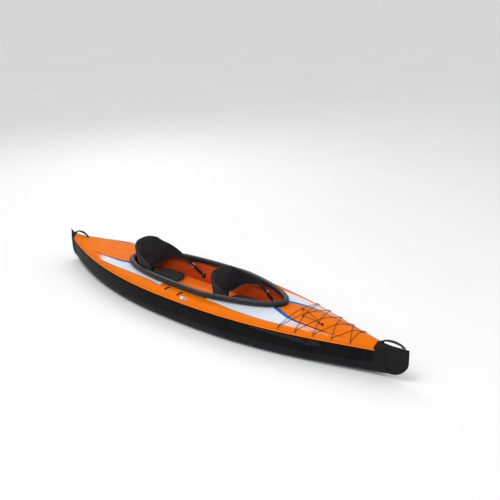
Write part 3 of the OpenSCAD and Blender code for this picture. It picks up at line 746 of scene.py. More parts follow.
@dataclass(frozen=True)
class DeckPrint:
    """The deck cloth: orange with pale panels, a blue line and a halftone fade."""

    name: str = "deck_cloth"
    orange: Colour = (0.86, 0.190, 0.002)
    deep: Colour = (0.74, 0.130, 0.002)
    pale: Colour = (0.64, 0.70, 0.78)
    white: Colour = (0.86, 0.89, 0.92)
    blue: Colour = (0.014, 0.13, 0.42)
    navy: Colour = (0.012, 0.02, 0.05)
    line_fore: Knots = (
        (0.80, 0.06), (0.87, 0.086), (0.92, 0.104), (0.97, 0.119), (1.03, 0.136),
        (1.10, 0.145), (1.245, 0.142), (1.36, 0.130), (1.5, 0.115), (1.64, 0.092),
    )
    half_fore: Knots = (
        (0.84, 0.021), (0.96, 0.020), (1.05, 0.015), (1.15, 0.009), (1.25, 0.006),
        (1.50, 0.004), (1.64, 0.0),
    )
    edge_fore: Knots = (
        (0.24, 0.31), (0.34, 0.302), (0.45, 0.303), (0.62, 0.298), (0.771, 0.289),
        (0.90, 0.273), (1.002, 0.255), (1.126, 0.232), (1.315, 0.192), (1.485, 0.147),
        (1.60, 0.098),
    )
    line_aft: Knots = (
        (-1.62, 0.170), (-1.518, 0.180), (-1.346, 0.188), (-1.191, 0.184),
        (-1.10, 0.170), (-1.02, 0.145),
    )
    half_aft: Knots = ((-1.60, 0.0), (-1.5, 0.004), (-1.3, 0.007), (-1.17, 0.014), (-1.05, 0.022))
    edge_aft: Knots = (
        (-1.46, 0.188), (-1.38, 0.236), (-1.302, 0.272), (-1.18, 0.290), (-1.068, 0.299),
        (-0.73, 0.306), (-0.497, 0.320), (-0.352, 0.342),
    )
    cell: float = 0.023

    def dots(self, s: Surface, cell: float, fade: object) -> object:
        """Squares that grow with the fade until they close up.

        Args:
            s: The surface in hand.
            cell: The squares' pitch.
            fade: A socket from 0, none, to 1, solid.

        Returns:
            A mask's socket.
        """
        g = s.graph
        span = []
        for axis in (s.x, s.y):
            step = g.math("FRACT", g.math("DIVIDE", axis, cell))
            span.append(g.math("ABSOLUTE", g.math("SUBTRACT", step, 0.5)))
        reach = g.math("MAXIMUM", span[0], span[1])
        return g.math("LESS_THAN", reach, g.math("MULTIPLY", fade, 0.56))

    def panel(self, s: Surface, inner: object, outer: object, y: object) -> object:
        """The mask of what lies between two lines."""
        g = s.graph
        return g.math(
            "MULTIPLY", g.math("GREATER_THAN", y, inner), g.math("LESS_THAN", y, outer)
        )

    def make(self) -> bpy.types.Material:
        """Builds the material."""
        s = Surface(self.name)
        g = s.graph
        y = g.math("ABSOLUTE", s.y)
        fore = g.math("GREATER_THAN", s.x, 0.0)
        lines = {}
        for key, ahead, behind in (
            ("line", self.line_fore, self.line_aft),
            ("half", self.half_fore, self.half_aft),
            ("edge", self.edge_fore, self.edge_aft),
        ):
            a = g.math("MULTIPLY", g.curve(s.x, ahead), fore)
            b = g.math("MULTIPLY", g.curve(s.x, behind), g.math("SUBTRACT", 1.0, fore))
            lines[key] = g.math("ADD", a, b)
        away = g.math("ABSOLUTE", g.math("SUBTRACT", y, lines["line"]))
        stripe = g.math("LESS_THAN", away, lines["half"])
        far = g.math("ABSOLUTE", s.x)
        shown = g.math("GREATER_THAN", g.math("COMPARE", s.x, -0.06, 0.292), 0.5)
        shown = g.math("SUBTRACT", 1.0, shown)
        panel = g.math("MULTIPLY", self.panel(s, lines["line"], lines["edge"], y), shown)
        fade = g.curve(s.x, ((-1.5, 0.0), (-1.42, 0.1), (-1.16, 1.0), (0.95, 1.0), (1.05, 0.84),
                             (1.25, 0.56), (1.5, 0.2), (1.6, 0.0)))
        speck = self.dots(s, self.cell, fade)
        fine = self.dots(s, 0.007, g.math("MULTIPLY", g.ramp(far, 0.3, 1.1), 0.55))
        tone = g.ramp(g.noise(s.place, 6.0, 6.0), 0.3, 0.72)
        weave = s.weave(0.0014)
        orange = g.blend(g.math("MULTIPLY_ADD", weave, 0.18, g.math("MULTIPLY", tone, 0.5)),
                         self.orange, self.deep)
        paled = g.blend(g.math("MULTIPLY", fine, 0.7), self.pale, self.white)
        cloth = g.blend(g.math("MULTIPLY", panel, speck), orange, paled)
        ink = g.blend(g.ramp(lines["half"], 0.006, 0.013), self.navy, self.blue)
        s.set(
            Base_Color=g.blend(stripe, cloth, ink),
            Roughness=g.math("MULTIPLY_ADD", g.noise(s.place, 30.0), 0.2, 0.38),
            Specular_IOR_Level=0.05,
        )
        s.bump((g.noise(s.place, 9.0, 5.0), 0.004, 0.45), (weave, 0.00025, 0.6))
        return s.material


@dataclass(frozen=True)
class SideCloth:
    """The black side cloth, with upright creases near the ends and a painted sheen of lighter grey
    along them.
    """

    name: str = "side_cloth"
    black: Colour = (0.003, 0.003, 0.004)
    grey: Colour = (0.011, 0.0113, 0.0125)

    def make(self) -> bpy.types.Material:
        """Builds the material."""
        s = Surface(self.name)
        g = s.graph
        long = g.node("ShaderNodeMapping", Vector=s.place, Scale=(34.0, 4.0, 3.0)).outputs[0]
        folds = g.noise(long, 1.0, 4.0)
        ends = g.ramp(g.math("ABSOLUTE", s.x), 0.9, 2.0)
        weave = s.weave(0.0016)
        tone = g.ramp(g.noise(s.place, 6.0, 6.0), 0.35, 0.75)
        shade = g.math("MULTIPLY_ADD", weave, 0.15, g.math("MULTIPLY", tone, 0.45))
        # Painted sheen: lighter grey laid along the upright folds towards the ends.
        painted_sheen_streak = g.math("MULTIPLY", g.ramp(folds, 0.5, 0.85), ends)
        s.set(
            Base_Color=g.blend(g.math("ADD", shade, g.math("MULTIPLY", painted_sheen_streak, 0.5)),
                               self.black, self.grey),
            Roughness=g.math("MULTIPLY_ADD", g.noise(s.place, 26.0), 0.2, 0.4),
            Sheen_Weight=0.01,
            Specular_IOR_Level=0.06,
        )
        crease = g.math("MULTIPLY", folds, g.math("MULTIPLY_ADD", ends, 0.8, 0.2))
        s.bump((crease, 0.006, 0.7), (g.noise(s.place, 12.0), 0.003, 0.4), (weave, 0.0003, 0.6))
        return s.material


BLACK: Colour = (0.004, 0.004, 0.005)
FINISHES = {
    # The bottom cloth is lighter grey than the sides: a painted reflection of the floor on the
    # underside, over its own dark grey.
    "hull_fabric": SideCloth("hull_cloth", (0.008, 0.0084, 0.009), (0.026, 0.027, 0.029)),
    "side_fabric": SideCloth(),
    "black_fabric": ClothFinish("end_cap_cloth", BLACK, (0.012, 0.012, 0.014), 0.5,
                                crease=0.003, sheen=0.01, specular=0.14),
    "deck_fabric": DeckPrint(),
    "piping": ClothFinish("edge_piping", (0.88, 0.23, 0.02), (0.95, 0.42, 0.10), 0.45),
    "lining_fabric": ClothFinish("lining_cloth", (0.62, 0.062, 0.006), (0.74, 0.10, 0.010), 0.4,
                                 crease=0.005, coat=0.05, specular=0.25),
    "bladder": ClothFinish("bladder_film", (0.06, 0.06, 0.065), (0.1, 0.1, 0.11), 0.35),
    "floor_fabric": ClothFinish("floor_cloth", (0.88, 0.150, 0.006), (0.95, 0.22, 0.012), 0.38,
                                crease=0.003, coat=0.05, specular=0.25),
    "coaming_fabric": ClothFinish("coaming_cloth", (0.004, 0.004, 0.005),
                                  (0.016, 0.016, 0.018), 0.34, crease=0.007, sheen=0.02,
                                  coat=0.08, specular=0.3),
    "batten": MouldedFinish("batten_rod", (0.75, 0.74, 0.68), (0.6, 0.6, 0.55)),
    "webbing": ClothFinish("webbing", (0.006, 0.006, 0.007), (0.03, 0.03, 0.033), 0.7,
                           pitch=0.0022, thread=0.0009, specular=0.2),
    "fitting": MouldedFinish("moulded_fitting", (0.010, 0.010, 0.012), (0.05, 0.05, 0.055)),
    "seat_fabric": ClothFinish("seat_cloth", (0.012, 0.011, 0.014), (0.038, 0.035, 0.043), 0.8,
                               pitch=0.003, thread=0.0009, crease=0.002, sheen=0.08,
                               specular=0.15),
    "metal": MouldedFinish("plated_metal", (0.72, 0.72, 0.74), (0.5, 0.5, 0.52), 0.24, True),
    "valve": MouldedFinish("valve_plastic", (0.012, 0.012, 0.014), (0.06, 0.06, 0.065)),
    "valve_plug": MouldedFinish("plug_plastic", (0.10, 0.10, 0.11), (0.2, 0.2, 0.21)),
    "cord": BraidFinish("braided_cord", (0.022, 0.009, 0.006), (0.09, 0.05, 0.035)),
    "patch": ClothFinish("printed_patch", (0.60, 0.63, 0.67), (0.76, 0.78, 0.80), 0.5),
    "binding": ClothFinish("seat_binding", (0.020, 0.0195, 0.022), (0.055, 0.055, 0.06), 0.75,
                           pitch=0.002, thread=0.0007, specular=0.2),
    "seam": ClothFinish("seam_tape", (0.10, 0.012, 0.006), (0.18, 0.025, 0.010), 0.5),
    "thread": BraidFinish("sewing_thread", (0.45, 0.45, 0.47), (0.65, 0.65, 0.68)),
    "dark_thread": BraidFinish("dark_thread", (0.03, 0.03, 0.033), (0.08, 0.08, 0.085)),
    "blue_print": ClothFinish("blue_print", (0.02, 0.15, 0.42), (0.04, 0.22, 0.5), 0.5),
    "dash_print": ClothFinish("dash_print", (0.07, 0.073, 0.078), (0.12, 0.124, 0.13), 0.55),
}


class Palette:
    """All finishes, made once and found by name."""

    def __init__(self) -> None:
        """Builds every material."""
        self.made = {key: maker.make() for key, maker in FINISHES.items()}

    def __getitem__(self, key: str) -> bpy.types.Material:
        """Gives the material of a finish."""
        return self.made[key]


class Assembly:
    """What every sub-assembly shares: its finishes and its way of putting pieces in."""

    def __init__(self, palette: Palette) -> None:
        """Keeps the finishes."""
        self.palette = palette

    def put(
        self,
        piece: bpy.types.Object,
        finish_name: str,
        body: str | None = "hull",
        nodes: Sequence[str] = (),
    ) -> bpy.types.Object:
        """Puts a finished piece on its body, if any, and hides the CAD nodes that it stands for.

        Args:
            piece: The piece.
            finish_name: Its finish; not used.
            body: The body that carries it, or None to leave it unparented.
            nodes: The CAD nodes that it stands for.

        Returns:
            The same piece.
        """
        if body:
            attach(piece, body)
        if nodes:
            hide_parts(*nodes)
        LOG.info("%s: %d faces", piece.name, len(piece.data.polygons))
        return piece

    def dress(self, finish_name: str, *nodes: str) -> None:
        """Gives CAD nodes that keep their own shape a finish."""
        for name in nodes:
            for slot in frame["nodes"][name].material_slots:
                slot.material = self.palette[finish_name]
            LOG.info("%s: dressed as %s", name, finish_name)


class Stitcher(Assembly):
    """Sews rows of stitches along paths with one Geometry Nodes tree."""

    def __init__(self, palette: Palette) -> None:
        """Builds the tree."""
        super().__init__(palette)
        self.tree = bpy.data.node_groups.new("stitch_row", "GeometryNodeTree")
        face = self.tree.interface
        face.new_socket("Geometry", in_out="INPUT", socket_type="NodeSocketGeometry")
        self.ids = {}
        for name, kind in (
            ("Pitch", "NodeSocketFloat"), ("Length", "NodeSocketFloat"),
            ("Width", "NodeSocketFloat"), ("Seed", "NodeSocketInt"),
            ("Finish", "NodeSocketMaterial"),
        ):
            socket = face.new_socket(name, in_out="INPUT", socket_type=kind)
            self.ids[name] = socket.identifier
        face.new_socket("Geometry", in_out="OUTPUT", socket_type="NodeSocketGeometry")
        g = Graph(self.tree)
        given = g.node("NodeGroupInput").outputs
        rail = g.node("GeometryNodeMeshToCurve", Mesh=given["Geometry"])
        steps = g.node("GeometryNodeResampleCurve", {"mode": "LENGTH"},
                       Curve=rail.outputs[0], Length=given["Pitch"])
        block = g.node("GeometryNodeMeshIcoSphere", Radius=0.5, Subdivisions=1)
        tangent = g.node("GeometryNodeInputTangent")
        aim = g.node("FunctionNodeAlignRotationToVector", {"axis": "X"},
                     Vector=tangent.outputs[0])
        jitter = g.node("FunctionNodeRandomValue", {"data_type": "FLOAT"},
                        i2=0.92, i3=1.08, Seed=given["Seed"])
        long = g.math("MULTIPLY", given["Length"], jitter.outputs[1])
        size = g.node("ShaderNodeCombineXYZ", X=long, Y=given["Width"], Z=given["Width"])
        sewn = g.node("GeometryNodeInstanceOnPoints", Points=steps.outputs[0],
                      Instance=block.outputs[0], Rotation=aim.outputs[0], Scale=size.outputs[0])
        real = g.node("GeometryNodeRealizeInstances", Geometry=sewn.outputs[0])
        done = g.node("GeometryNodeSetMaterial", Geometry=real.outputs[0],
                      Material=given["Finish"])
        g.node("NodeGroupOutput", Geometry=done.outputs[0])

    def sew(
        self,
        name: str,
        paths: Sequence[Sequence[Point]],
        finish_name: str = "thread",
        body: str | None = "hull",
        pitch: float = 0.008,
        length: float = 0.005,
        width: float = 0.0013,
    ) -> bpy.types.Object:
        """Sews rows of stitches on one body.

        Args:
            name: The piece's name.
            paths: The rows, each a line of points.
            finish_name: The thread's finish.
            body: The body that carries them.
            pitch: The distance between stitches.
            length: A stitch's length.
            width: A stitch's width.

        Returns:
            The stitches as one plain mesh.
        """
        points, edges = [], []
        for path in paths:
            start = len(points)
            points += [tuple(p) for p in path]
            edges += [(k, k + 1) for k in range(start, len(points) - 1)]
        mesh = bpy.data.meshes.new(name + "_rail")
        mesh.from_pydata(points, edges, [])
        rail = bpy.data.objects.new(name + "_rail", mesh)
        bpy.context.scene.collection.objects.link(rail)
        live = rail.modifiers.new("stitches", "NODES")
        live.node_group = self.tree
        values = {"Pitch": pitch, "Length": length, "Width": width, "Seed": 7,
                  "Finish": self.palette[finish_name]}
        for key, value in values.items():
            live[self.ids[key]] = value
        graph = bpy.context.evaluated_depsgraph_get()
        made = bpy.data.meshes.new_from_object(rail.evaluated_get(graph))
        rail.modifiers.remove(live)
        bpy.data.objects.remove(rail)
        piece = finish(made, name, self.palette[finish_name])
        return self.put(piece, finish_name, body)


# ---------------------------------------------------------------- sewn panels


def ripple(x: float, y: float, z: float, scale: Point, seed: float) -> float:
    """Smooth unevenness from -1 to 1 at a place, stretched by a scale per axis."""
    where = Vector((x * scale[0] + seed, y * scale[1] + 3.1 * seed, z * scale[2]))
    return noise.noise(where) + 0.5 * noise.noise(where * 2.03)


@dataclass
class HullSkin(Assembly):
    """The bottom, the two black sides and the folded end caps."""

    palette: Palette
    lines: HullLines = LINES
    sew: Stitcher | None = None
    pucker: float = 0.004
    cloth: float = 0.0015
    dash_w: float = 0.0030
    dash_n: int = 40
    ends: tuple[float, float] = (-2.07, 1.87)

    def fold(self, x: float, a: float) -> float:
        """How far the side cloth is drawn in at a place, in metres.

        Args:
            x: The station.
            a: The angle round the section, in degrees.
        """
        end = clamp01((abs(x + 0.1) - 0.8) / 1.0)
        upright = max(0.0, ripple(x, 0, a / 60, (13.0, 1, 1.4), 4.0))
        near_seam = clamp01(1 - abs(a - self.lines.seam_a) / 16)
        small = abs(ripple(x, 0, 0, (46.0, 1, 1), 9.0)) * near_seam
        return self.pucker * (upright * (0.25 + 0.75 * end) + 0.35 * small)

    def sides(self) -> None:
        """Makes both black side panels with upright folds towards the ends."""
        spec = self.lines
        stations = spread(*self.ends, 330)
        angles = spread(spec.chine_a, spec.seam_a, 16)
        for side in Side:
            rows = []
            for x in stations:
                row = []
                for a in angles:
                    edge = min(1.0, 6 * (a - angles[0]) / 42, 6 * (angles[-1] - a) / 42)
                    y, z = spec.side(x, a, self.fold(x + 0.7 * side.value, a) * clamp01(edge))
                    row.append((x, side.value * y, z))
                rows.append(row)
            piece = skin(f"side_panel_{side.word}", rows, self.palette["side_fabric"],
                         self.cloth, flip=side is Side.STARBOARD)
            self.put(piece, "side_fabric", nodes=[f"hull_side_{side.word}"])

    def bottom(self) -> None:
        """Makes the bottom panel, flat between its bilges and slack towards the ends."""
        spec, rows = self.lines, []
        angles = [spec.chine_a, -14, -20, -27, -35, -44, -54, -64, -74, -82, -90]
        for x in spread(*self.ends, 260):
            half = []
            for a in angles:
                wave = max(0.0, ripple(x, 0, a / 50, (16.0, 1, 1.6), 21.0))
                deep = self.pucker * 0.7 * wave * clamp01((spec.chine_a - a) / 20)
                y, z = spec.side(x, a - 0.25, deep * clamp01((a + 90) / 20))
                half.append((x, y, z))
            y1, z1 = half[-1][1], half[-1][2]
            flat = [(x, y1 * f, z1) for f in (0.72, 0.4, 0.0)]
            row = half + flat
            row += [(p[0], -p[1], p[2]) for p in reversed(row[:-1])]
            rows.append(row)
        # Its lighter grey is a painted reflection of the floor.
        piece = skin("bottom_panel", rows, self.palette["hull_fabric"], self.cloth, flip=True)
        self.put(piece, "hull_fabric", nodes=["hull_bottom"])

    def cap_ring(self, x: float, tuck: float) -> list[Point]:
        """One closed section of an end cap, drawn in where its cloth is folded."""
        spec, half = self.lines, []
        for a in spread(-90, 84, 16):
            deep = tuck * max(0.0, math.sin(math.radians(a * 3.0 + 60))) * 0.7
            half.append((x, *spec.side(x, a, min(deep, spec.bilge(x) * 0.5))))
        for s in (0.08, 0.3, 0.6, 0.85):
            half.append((x, *spec.deck(x, s)))
        keel = (x, 0.0, spec.keel(x))
        ridge = (x, 0.0, spec.ridge(x))
        return [keel, *half, ridge, *[(p[0], -p[1], p[2]) for p in reversed(half)]]

    def caps(self) -> None:
        """Makes the two end caps with soft folds round their noses."""
        spec, tip = self.lines, self.lines.length / 2 - 0.0001
        bow = spread(spec.cap_x + spec.gap, spec.bow_x, 12)[:-1]
        bow += [spec.bow_x + (tip - spec.bow_x) * math.sin(math.radians(a))
                for a in spread(0, 90, 18)]
        reach = tip + spec.stern_x
        stern = [spec.stern_x - spec.gap]
        stern += [spec.stern_x - reach * math.sin(math.radians(a)) for a in spread(5, 90, 16)]
        for name, stations in (("bow", bow), ("stern", stern)):
            rings = []
            for x in stations:
                far = 0.0 if name == "stern" else 0.0022 * clamp01((x - 1.88) / 0.05)
                slack = 0.5 + 0.5 * ripple(x, 0, 0, (24.0, 1, 1), 2.0)
                rings.append(self.cap_ring(x, far * slack * (1 - spec.nose(x))))
            piece = loft(f"{name}_cap_cloth", rings, self.palette["black_fabric"], 60)
            self.put(piece, "black_fabric", nodes=[f"{name}_cap"])

    def seams(self) -> None:
        """Sews the panels' edges and lays the folded hems over the caps' joins."""
        spec = self.lines
        hems = []
        for x0, width in ((spec.cap_x, 0.012), (spec.stern_x + 0.012, 0.012)):
            rows = []
            for x in spread(x0 - width, x0 + 0.001, 3):
                ring = self.cap_ring(x, 0.0)
                mid = np.mean(ring, axis=0)
                out = [np.array(p) + 0.0009 * (np.array(p) - mid)
                       / max(0.001, np.linalg.norm(np.array(p) - mid)) for p in ring]
                rows.append([*out, out[0]])
            hems.append(rows)
        for name, rows in zip(("bow_hem", "stern_hem"), hems):
            piece = skin(name, rows, self.palette["black_fabric"], 0.0008)
            self.put(piece, "black_fabric")
        for side in Side:
            low = [(x, side.value * y, z) for x in spread(-2.06, 1.86, 300)
                   for y, z in [spec.side(x, spec.chine_a + 1.4, -0.0002)]]
            high = [(x, side.value * y, z) for x in spread(-2.06, 1.86, 300)
                    for y, z in [spec.side(x, spec.seam_a - 2.2, -0.0002)]]
            self.sew.sew(f"side_stitches_{side.word}", [low, high], "dark_thread",
                         pitch=0.011, length=0.006)

    def dashes(self) -> None:
        """Prints a plain row of fine upright dashes below the seam, on each side."""
        spec, points, faces = self.lines, [], []
        for side in Side:
            for k in range(self.dash_n):
                x = mix(0.80, 1.42, k / (self.dash_n - 1))
                low = mix(20.0, 7.0, clamp01((k - 6) / 26)) + 1.2 * math.sin(k * 0.9)
                for j, a in enumerate((low, low + 3, low + 6, 28.0)):
                    y, z = spec.side(x, a, 0.0)
                    out = 0.0004
                    for dx in (-self.dash_w / 2, self.dash_w / 2):
                        points.append((x + dx, side.value * (y + out), z))
                    if j:
                        n = len(points)
                        quad = [n - 4, n - 3, n - 1, n - 2]
                        faces.append(quad if side is Side.STARBOARD else quad[::-1])
        piece = build("side_dashes", points, faces, self.palette["dash_print"])
        solid = piece.modifiers.new("ink", "SOLIDIFY")
        solid.thickness = 0.0003
        self.put(piece, "dash_print")

    def make(self) -> None:
        """Builds the whole skin."""
        self.sides()
        self.bottom()
        self.caps()
        self.seams()
        self.dashes()
        self.dress("bladder", "chamber_port", "chamber_starboard")


@dataclass
class Deck(Assembly):
    """The orange deck in four panels, its piping and its two battens."""

    palette: Palette
    lines: HullLines = LINES
    sew: Stitcher | None = None
    cloth: float = 0.0015
    drawn: float = 0.0016

    def section(self, x: float, to_ridge: bool) -> list[Point]:
        """Half a deck section from the seam to the ridge or the rim, on the port side."""
        spec, half = self.lines, []
        for a in (34, 36, 39, 43, 48, 54, 61, 69, 78):
            half.append((x, *spec.side(x, a, self.pucker(x, a))))
        steps = spread(0, 1, 12)
        for s in steps if not to_ridge else steps[:-1]:
            y, z = spec.deck(x, s)
            calm = math.sin(math.pi * s) ** 0.5 if 0 < s < 1 else 0.0
            wave = max(0.0, ripple(x, y, 0, (4.5, 9.0, 1), 6.0))
            half.append((x, y, z - self.drawn * calm * wave))
        if to_ridge:
            half.append((x, 0.0, spec.ridge(x)))
        return half

    def pucker(self, x: float, a: float) -> float:
        """The gathers along the seam, in metres inwards."""
        near = clamp01(1 - (a - 35) / 22) * clamp01((a - 34) / 3)
        return 0.0012 * near * (0.5 + 0.5 * ripple(x, 0, 0, (38.0, 1, 1), 5.0))

    def ends(self) -> None:
        """Makes the bow and stern decks."""
        spec = self.lines
        spans = {
            "bow": (spec.rim_fore + spec.gap, spec.cap_x),
            "stern": (spec.stern_x, spec.rim_aft - spec.gap),
        }
        for name, span in spans.items():
            rows = []
            for x in spread(*span, 110):
                half = self.section(x, True)
                rows.append(half + [(p[0], -p[1], p[2]) for p in reversed(half[:-1])])
            piece = skin(f"{name}_deck_panel", rows, self.palette["deck_fabric"], self.cloth)
            self.put(piece, "deck_fabric", nodes=[f"deck_{name}"])

    def flanks(self) -> None:
        """Makes the side decks between the seam and the coaming."""
        spec = self.lines
        for side in Side:
            rows = [[(p[0], side.value * p[1], p[2]) for p in self.section(x, False)]
                    for x in eased(spec.rim_aft, spec.rim_fore, 170)]
            piece = skin(f"side_deck_{side.word}", rows, self.palette["deck_fabric"],
                         self.cloth, flip=side is Side.STARBOARD)
            self.put(piece, "deck_fabric", nodes=[f"deck_side_{side.word}"])

    def piping(self) -> None:
        """Makes the corded edges and the rows of stitches inboard of them."""
        spec = self.lines
        for side in Side:
            path = [(x, side.value * y, z) for x in spread(spec.stern_x, spec.cap_x, 320)
                    for y, z in [spec.side(x, spec.seam_a + 0.5, -0.0034)]]
            piece = tube(f"corded_edge_{side.word}", path, 0.0027, self.palette["piping"], 8,
                         swell=lambda i, j: 1 - 0.12 * (i % 2))
            self.put(piece, "piping", nodes=[f"edge_piping_{side.word}"])
            row = [(x, side.value * y, z) for x in spread(spec.stern_x + 0.01,
                                                          spec.cap_x - 0.01, 300)
                   for y, z in [spec.side(x, spec.seam_a + 5.5, -0.0003)]]
            self.sew.sew(f"deck_stitches_{side.word}", [row], "thread",
                         pitch=0.009, length=0.0055, width=0.0011)

    def make(self) -> None:
        """Builds the deck."""
        self.ends()
        self.flanks()
        self.piping()
        self.dress("batten", "deck_batten_bow", "deck_batten_stern")


@dataclass
class Cockpit(Assembly):
    """The coaming, the two linings with their piping, and the ribbed floor."""

    palette: Palette
    lines: HullLines = LINES
    sew: Stitcher | None = None
    floor_ends: tuple[float, float] = (-1.35, 1.18)
    floor_rib: float = 0.004
    rib_pitch: float = 0.088
    lining_ends: tuple[float, float] = (-1.33, 1.19)

    def coaming(self) -> None:
        """Makes the inflated rim in its wrinkled sleeve."""
        spec, n, sides = self.lines, 520, 28

        def wrinkle(i: int, j: int) -> float:
            """The sleeve's drawn-in radius, as a share, at station i and side j."""
            place = spec.rim(360 * i / n)
            fore = clamp01((place.x + 0.4) / 1.0)
            f = math.tau * j / sides
            across = abs(ripple(place.x * 30, place.y * 30, math.cos(f) * 0.9,
                                (0.85, 0.85, 1.0), 3.0))
            small = abs(ripple(place.x * 80, place.y * 80, math.sin(f) * 0.8,
                               (0.9, 0.9, 1.0), 8.0))
            return 1.0 - (0.035 + 0.05 * fore) * across - 0.02 * small

        path = [spec.rim(360 * (i + 0.5) / n) for i in range(n)]
        piece = tube("coaming_cover", path, spec.rim_r, self.palette["coaming_fabric"],
                     sides, closed=True, swell=wrinkle)
        self.put(piece, "coaming_fabric", nodes=["coaming_sleeve"])
        self.dress("bladder", "coaming_tube")
        seam = []
        for i in range(n + 1):
            p = spec.rim(360 * (i + 0.5) / n)
            out = Vector((p.x - spec.rim_mid, p.y * 2.2, 0)).normalized()
            seam.append(p + out * spec.rim_r * 0.80 - Vector((0, 0, spec.rim_r * 0.56)))
        self.sew.sew("coaming_stitches", [seam], "dark_thread", pitch=0.009,
                     length=0.006, width=0.002)
        # Pale stitches along the coaming's front top: painted highlights on its sleeve, drawn as
        # thread.
        fore = []
        for i in range(181):
            p = spec.rim(mix(-100, 100, i / 180))
            out = Vector((p.x - spec.rim_mid, p.y * 2.2, 0)).normalized()
            fore.append(p + out * spec.rim_r * 0.62 + Vector((0, 0, spec.rim_r * 0.80)))
        self.sew.sew("coaming_light_stitches", [fore], "thread", pitch=0.014,
                     length=0.007, width=0.0018)

    def linings(self) -> None:
        """Makes the bright linings on the chambers' inner faces, with a dark piping."""
        spec = self.lines
        clear = spec.lining_clear + spec.skin
        for side in Side:
            rows, line = [], []
            for x in spread(*self.lining_ends, 240):
                row = []
                for a in (-36, -29, -22, -14, -6, 2, 10, 18, 26, 34, 42, 49, 55):
                    soft = max(0.0, ripple(x, 0, a / 70, (5.0, 1, 1.6), 13.0)) * 0.0016
                    y, z = spec.inner(x, a, clear + soft * math.sin(
                        math.pi * (a + 36) / 91) * (1.0 if a < 50 else 0.0))
                    row.append((x, side.value * y, z))
                top_y = max(spec.rim_y(x) - 0.001 if spec.in_cockpit(x) else 0.0,
                            spec.inner(x, 68, clear)[0]) - spec.skin
                top_z = spec.deck_z(x, top_y)
                if spec.in_cockpit(x):
                    top_z = min(top_z, spec.deck_edge_z(x))
                y0, z0 = row[-1][1], row[-1][2]
                end = (x, side.value * top_y, top_z - 0.0034)
                for f in (0.33, 0.66):
                    row.append((x, mix(y0, end[1], f), mix(z0, end[2], f)))
                row.append(end)
                rows.append(row)
                y, z = spec.inner(x, 40, clear + 0.0016)
                line.append((x, side.value * y, z))
            piece = skin(f"cockpit_lining_{side.word}", rows, self.palette["lining_fabric"],
                         0.0012, flip=side is Side.PORT)
            self.put(piece, "lining_fabric", nodes=[f"lining_{side.word}"])
            piping = tube(f"lining_piping_{side.word}", line, 0.0022, self.palette["seam"], 8)
            self.put(piping, "seam")

    def floor_z(self, x: float, y: float) -> float:
        """How far the floor's top is drawn down between its ribs at a place."""
        phase = (y / self.rib_pitch) % 1.0
        return self.floor_rib * (2 * abs(phase - 0.5)) ** 6

    def floor(self) -> None:
        """Makes the inflated floor: long soft ribs over drop threads, in a flat mat."""
        spec, rings = self.lines, []
        clear = spec.skin + spec.lining_clear + 2 * spec.gap
        for x in spread(*self.floor_ends, 150):
            w, h = spec.chamber_y(x) - clear, spec.floor_h / 2
            z = spec.keel(x) + spec.skin + spec.gap + h
            ring = []
            rounding = clamp01((x - self.floor_ends[0]) / 0.03) * clamp01(
                (self.floor_ends[1] - x) / 0.03)
            h1 = h * (0.55 + 0.45 * math.sqrt(rounding))
            top = [f for f in spread(-1, 1, 60)]
            side_angles = spread(-75, 75, 8)
            for f in top[::-1]:
                y = f * (w - h * 0.75)
                dip = self.floor_z(x, y) * (1 - abs(f) ** 6)
                ring.append((x, y, z + h1 - dip))
            for a in side_angles[::-1]:
                c = math.radians(a)
                ring.append((x, -(w - h + h * abs(math.cos(c)) ** 0.8),
                             z + h1 * signed_pow(math.sin(c), 0.55)))
            for f in spread(-1, 1, 12):
                ring.append((x, f * (w - h * 0.75), z - h1))
            for a in side_angles:
                c = math.radians(a)
                ring.append((x, w - h + h * abs(math.cos(c)) ** 0.8,
                             z + h1 * signed_pow(math.sin(c), 0.55)))
            rings.append(ring)
        piece = loft("floor_mat", rings, self.palette["floor_fabric"], 60)
        self.put(piece, "floor_fabric", nodes=["floor_chamber"])
        for side in Side:
            path = []
            for x in spread(self.floor_ends[0] + 0.02, self.floor_ends[1] - 0.02, 150):
                w = spec.chamber_y(x) - clear
                path.append((x, side.value * (w - 0.035), spec.floor_top(x) - 0.0055))
            seam = tube(f"floor_seam_{side.word}", path, 0.0042, self.palette["seam"], 8)
            self.put(seam, "seam")

    def make(self) -> None:
        """Builds the cockpit."""
        self.coaming()
        self.linings()
        self.floor()


# ---------------------------------------------------------------- seats


def inflate(
    piece: bpy.types.Object, voxel: float, pressure: float, cap: float, frames_n: int = 20
) -> None:
    """Lets a closed pad swell as stuffed cloth, and keeps the result in its mesh.

    Args:
        piece: The pad, slightly smaller than it ends.
        voxel: The remesh size.
        pressure: The cloth's inner pressure.
        cap: The furthest that any point may move.
        frames_n: How many frames to run.
    """
    remesh = piece.modifiers.new("remesh", "REMESH")
    remesh.mode, remesh.voxel_size = "VOXEL", voxel
    remesh.use_smooth_shade = True
    graph = bpy.context.evaluated_depsgraph_get()
    made = bpy.data.meshes.new_from_object(piece.evaluated_get(graph))
    piece.modifiers.remove(remesh)
    material = piece.data.materials[0]
    piece.data = made
    piece.data.materials.clear()
    piece.data.materials.append(material)
    rest = np.array([v.co[:] for v in made.vertices])
    cloth = piece.modifiers.new("cloth", "CLOTH")
    cloth.settings.use_pressure = True
    cloth.settings.uniform_pressure_force = pressure
    cloth.settings.effector_weights.gravity = 0.0
    scene = bpy.context.scene
    for number in range(1, frames_n + 1):
        scene.frame_set(number)
    graph = bpy.context.evaluated_depsgraph_get()
    swollen = piece.evaluated_get(graph).to_mesh()
    moved = np.array([v.co[:] for v in swollen.vertices]) - rest
    piece.evaluated_get(graph).to_mesh_clear()
    piece.modifiers.remove(cloth)
    scene.frame_set(1)
    size = np.linalg.norm(moved, axis=1, keepdims=True)
    moved *= np.minimum(1.0, cap / np.maximum(size, 1e-9))
    made.vertices.foreach_set("co", (rest + moved).ravel())
    made.update()
    LOG.info("%s: swelled by up to %.1f mm", piece.name, 1000 * float(size.max()))


